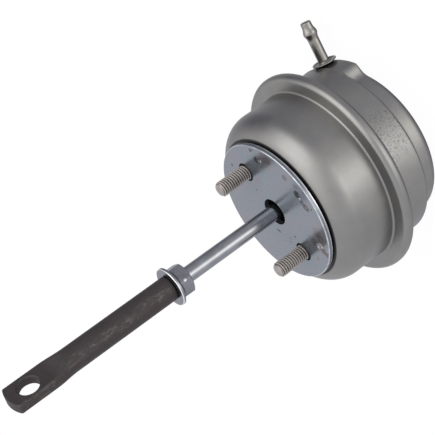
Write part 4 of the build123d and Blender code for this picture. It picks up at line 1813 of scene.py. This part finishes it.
@dataclass
class Studio:
    """White studio: panels of light in the world, a pale floor with a soft shadow, a lamp and the camera."""

    base_light: float = 0.8
    base_tint: Colour = (0.995, 0.99, 1.045)
    floor_z: float = -53.5
    floor_gap: float = 0.05
    floor_reach: float = 6000.0
    floor_colour: Colour = (0.98, 0.98, 0.98)
    shadow_share: float = 0.04
    lamp_direction: Triple = (-0.62, 0.42, 0.66)
    lamp_distance: float = 1.1
    lamp_size: float = 1.0
    lamp_energy: float = 2.5
    camera_place: Triple = (0.0002, 0.41584, 0.198)
    camera_right: Triple = (0.586044, 0.306399, -0.750115)
    camera_up: Triple = (-0.809937, 0.24843, -0.531305)
    lens: float = 103.82
    sensor: float = 36.0
    clip: Pair = (0.01, 50.0)
    panels: tuple[Panel, ...] = field(
        default=(
            Panel((0.36, 0.87, -0.25), 0.65, 11.0, WARM),
            Panel((0.29, 0.84, -0.45), 1.75, 28.0, WARM),
            Panel((-0.66, 0.58, 0.47), 0.95, 15.0, CREAM),
            Panel((-0.36, -0.02, 0.93), 1.3, 12.0, CREAM),
            Panel((0.05, 0.35, 0.93), 0.25, 2.5, IVORY),
            Panel((-0.30, -0.80, -0.52), 0.12, 6.0),
            Panel((-0.88, -0.34, 0.10), -0.62, 5.0),
            Panel((-0.82, 0.0, -0.57), -0.15, 8.0),
            Panel((-0.82, 0.55, -0.05), -0.25, 12.0),
            Panel((-0.40, 0.82, -0.39), -0.15, 16.0),
            Panel((0.0, -0.35, -0.94), -0.7, 4.5),
        )
    )

    def build(self) -> None:
        """Builds the world, floor, lamp and camera, and sets the view to Standard."""
        self.world()
        self.floor()
        self.key_lamp()
        self.camera()
        bpy.context.scene.view_settings.view_transform = "Standard"

    @staticmethod
    def mixed(sheet: NodeSheet, share: Feed, first: Node, second: Node) -> Socket:
        """Mix of two shaders by the share of the second."""
        chooser = sheet.node("ShaderNodeMixShader")
        return sheet.filled(chooser, share, first.outputs[0], second.outputs[0]).outputs[0]

    def world(self) -> None:
        """World: white for the camera. For all else it is a base light plus the panels' glow.

        A panel's glow is its strength times exp(sharpness (d - 1)), where d is the dot product of the
        looking direction and the panel's.
        """
        world = bpy.data.worlds.new("studio")
        bpy.context.scene.world = world
        world.use_nodes = True
        sheet = NodeSheet(world.node_tree)
        world.node_tree.nodes.clear()
        looking = sheet.node("ShaderNodeTexCoord").outputs["Generated"]
        light: Feed = sheet.joined(*shaded(self.base_tint, self.base_light))
        for panel in self.panels:
            facing = sheet.facing(looking, tuple(unit(np.array(panel.direction)).tolist()))
            lobe = sheet.math("EXPONENT", sheet.times(sheet.minus(facing, 1.0), panel.sharpness))
            glow = sheet.fed(sheet.vector_math("SCALE", shaded(panel.tint, panel.strength)), scale=lobe)
            light = sheet.vector_math("ADD", light, glow.outputs[0]).outputs[0]
        studio = sheet.fed(sheet.node("ShaderNodeBackground"), color=light)
        white = sheet.fed(sheet.node("ShaderNodeBackground"), color=WHITE)
        for_camera = sheet.node("ShaderNodeLightPath").outputs["Is Camera Ray"]
        mixed = self.mixed(sheet, for_camera, studio, white)
        sheet.fed(sheet.node("ShaderNodeOutputWorld"), surface=mixed)

    def floor(self) -> None:
        """Pale floor under the can: mostly its own white, with a share that takes the object's shadow."""
        reach, height = self.floor_reach, self.floor_z - self.floor_gap
        rows = [[(x, y, height) for x in (-reach, reach)] for y in (-reach, reach)]
        floor = piece_from_grid("floor", np.array(rows))
        paint = bpy.data.materials.new("floor_white")
        paint.use_nodes = True
        sheet = NodeSheet(paint.node_tree)
        paint.node_tree.nodes.clear()
        glow = sheet.fed(sheet.node("ShaderNodeEmission"), color=WHITE)
        lit = sheet.fed(sheet.node("ShaderNodeBsdfDiffuse"), color=self.floor_colour)
        mixed = self.mixed(sheet, self.shadow_share, glow, lit)
        sheet.fed(sheet.node("ShaderNodeOutputMaterial"), surface=mixed)
        floor.data.materials.append(paint)
        floor.visible_glossy = False
        floor.visible_diffuse = False
        floor.visible_shadow = False
        floor.visible_transmission = False

    def key_lamp(self) -> None:
        """Broad soft lamp above and left of the camera, for the dark parts' form and the floor's shadow."""
        lamp = bpy.data.lights.new("key", "AREA")
        lamp.shape = "SQUARE"
        lamp.size = self.lamp_size
        lamp.energy = self.lamp_energy
        holder = bpy.data.objects.new("key", lamp)
        bpy.context.scene.collection.objects.link(holder)
        towards = Vector(self.lamp_direction).normalized()
        holder.location = towards * self.lamp_distance
        holder.rotation_euler = towards.to_track_quat("Z", "Y").to_euler()

    def camera(self) -> None:
        """Camera at the photograph's viewing angle."""
        lens = bpy.data.cameras.new("camera")
        lens.lens = self.lens
        lens.sensor_width = self.sensor
        lens.clip_start, lens.clip_end = self.clip
        holder = bpy.data.objects.new("camera", lens)
        bpy.context.scene.collection.objects.link(holder)
        right, up = Vector(self.camera_right), Vector(self.camera_up)
        axes = Matrix((right, up, right.cross(up))).transposed().to_4x4()
        holder.matrix_world = Matrix.Translation(self.camera_place) @ axes
        bpy.context.scene.camera = holder


def finishes() -> dict[Slot, bpy.types.Material]:
    """Makes the materials of all slots, once.

    Returns:
        The material of each slot.
    """
    shelf = EffectShelf()
    made: dict[Slot, Finish] = {
        Slot.SHELL: ShellFinish(shelf, "satin_shell", (0.283, 0.281, 0.275), 1.0, 0.34, 0.08),
        Slot.PLATE: PlateFinish(shelf, "blue_zinc_plate", (0.258, 0.28, 0.31), 0.8, 0.2, 0.1),
        Slot.STUD: ThreadFinish(shelf, "rolled_thread", (0.4, 0.37, 0.345), 0.55, 0.3, 0.12),
        Slot.INNER: DrawnFinish(shelf, "pressed_inner_steel", (0.34, 0.33, 0.32), 1.0, 0.35, 0.1),
        Slot.SPRING: DrawnFinish(shelf, "oiled_spring_steel", (0.12, 0.115, 0.11), 1.0, 0.3, 0.15),
        Slot.RUBBER: RubberFinish(shelf, "diaphragm_rubber_black", (0.02, 0.02, 0.021), 0.0, 0.6, 0.15),
        Slot.ROD: DrawnFinish(shelf, "bright_rod", (0.335, 0.347, 0.368), 1.0, 0.17, 0.07),
        Slot.NUT: NutFinish(
            shelf, "zinc_nut", (0.28, 0.29, 0.315), 1.0, 0.22, 0.1, cloud_scale=320.0, dark_share=0.8
        ),
        Slot.BLACK: BlackFinish(shelf, "black_oxide", (0.031, 0.027, 0.0285), 0.2, 0.5, 0.14),
        Slot.NIPPLE: DrawnFinish(
            shelf, "nipple_steel_beige", (0.31, 0.3, 0.275), 1.0, 0.2, 0.08, cloud_scale=300.0
        ),
    }
    return {slot: finish.material() for slot, finish in made.items()}


KEPT_NODES = {
    "mounting_plate": Slot.PLATE,
    "actuator_rod": Slot.ROD,
    "stud_carrier": Slot.INNER,
    "spring_seat": Slot.INNER,
    "piston": Slot.INNER,
    "retainer": Slot.INNER,
    "rivet_washer": Slot.INNER,
}


def main() -> None:
    """Builds every piece and the studio."""
    logging.basicConfig(level=logging.INFO, format="%(message)s")
    dresser = Dresser(finishes())
    Can().build(dresser)
    Nipple().build(dresser)
    Stud("stud_left", -18.0, 0.6).build(dresser)
    Stud("stud_right", 18.0, 2.4).build(dresser)
    LockNut().build(dresser)
    EyeEnd().build(dresser)
    ReturnSpring().build(dresser)
    Diaphragm().build(dresser)
    for node, slot in KEPT_NODES.items():
        dresser.repaint(node, slot)
    Studio().build()


if __name__ == "__main__":
    main()
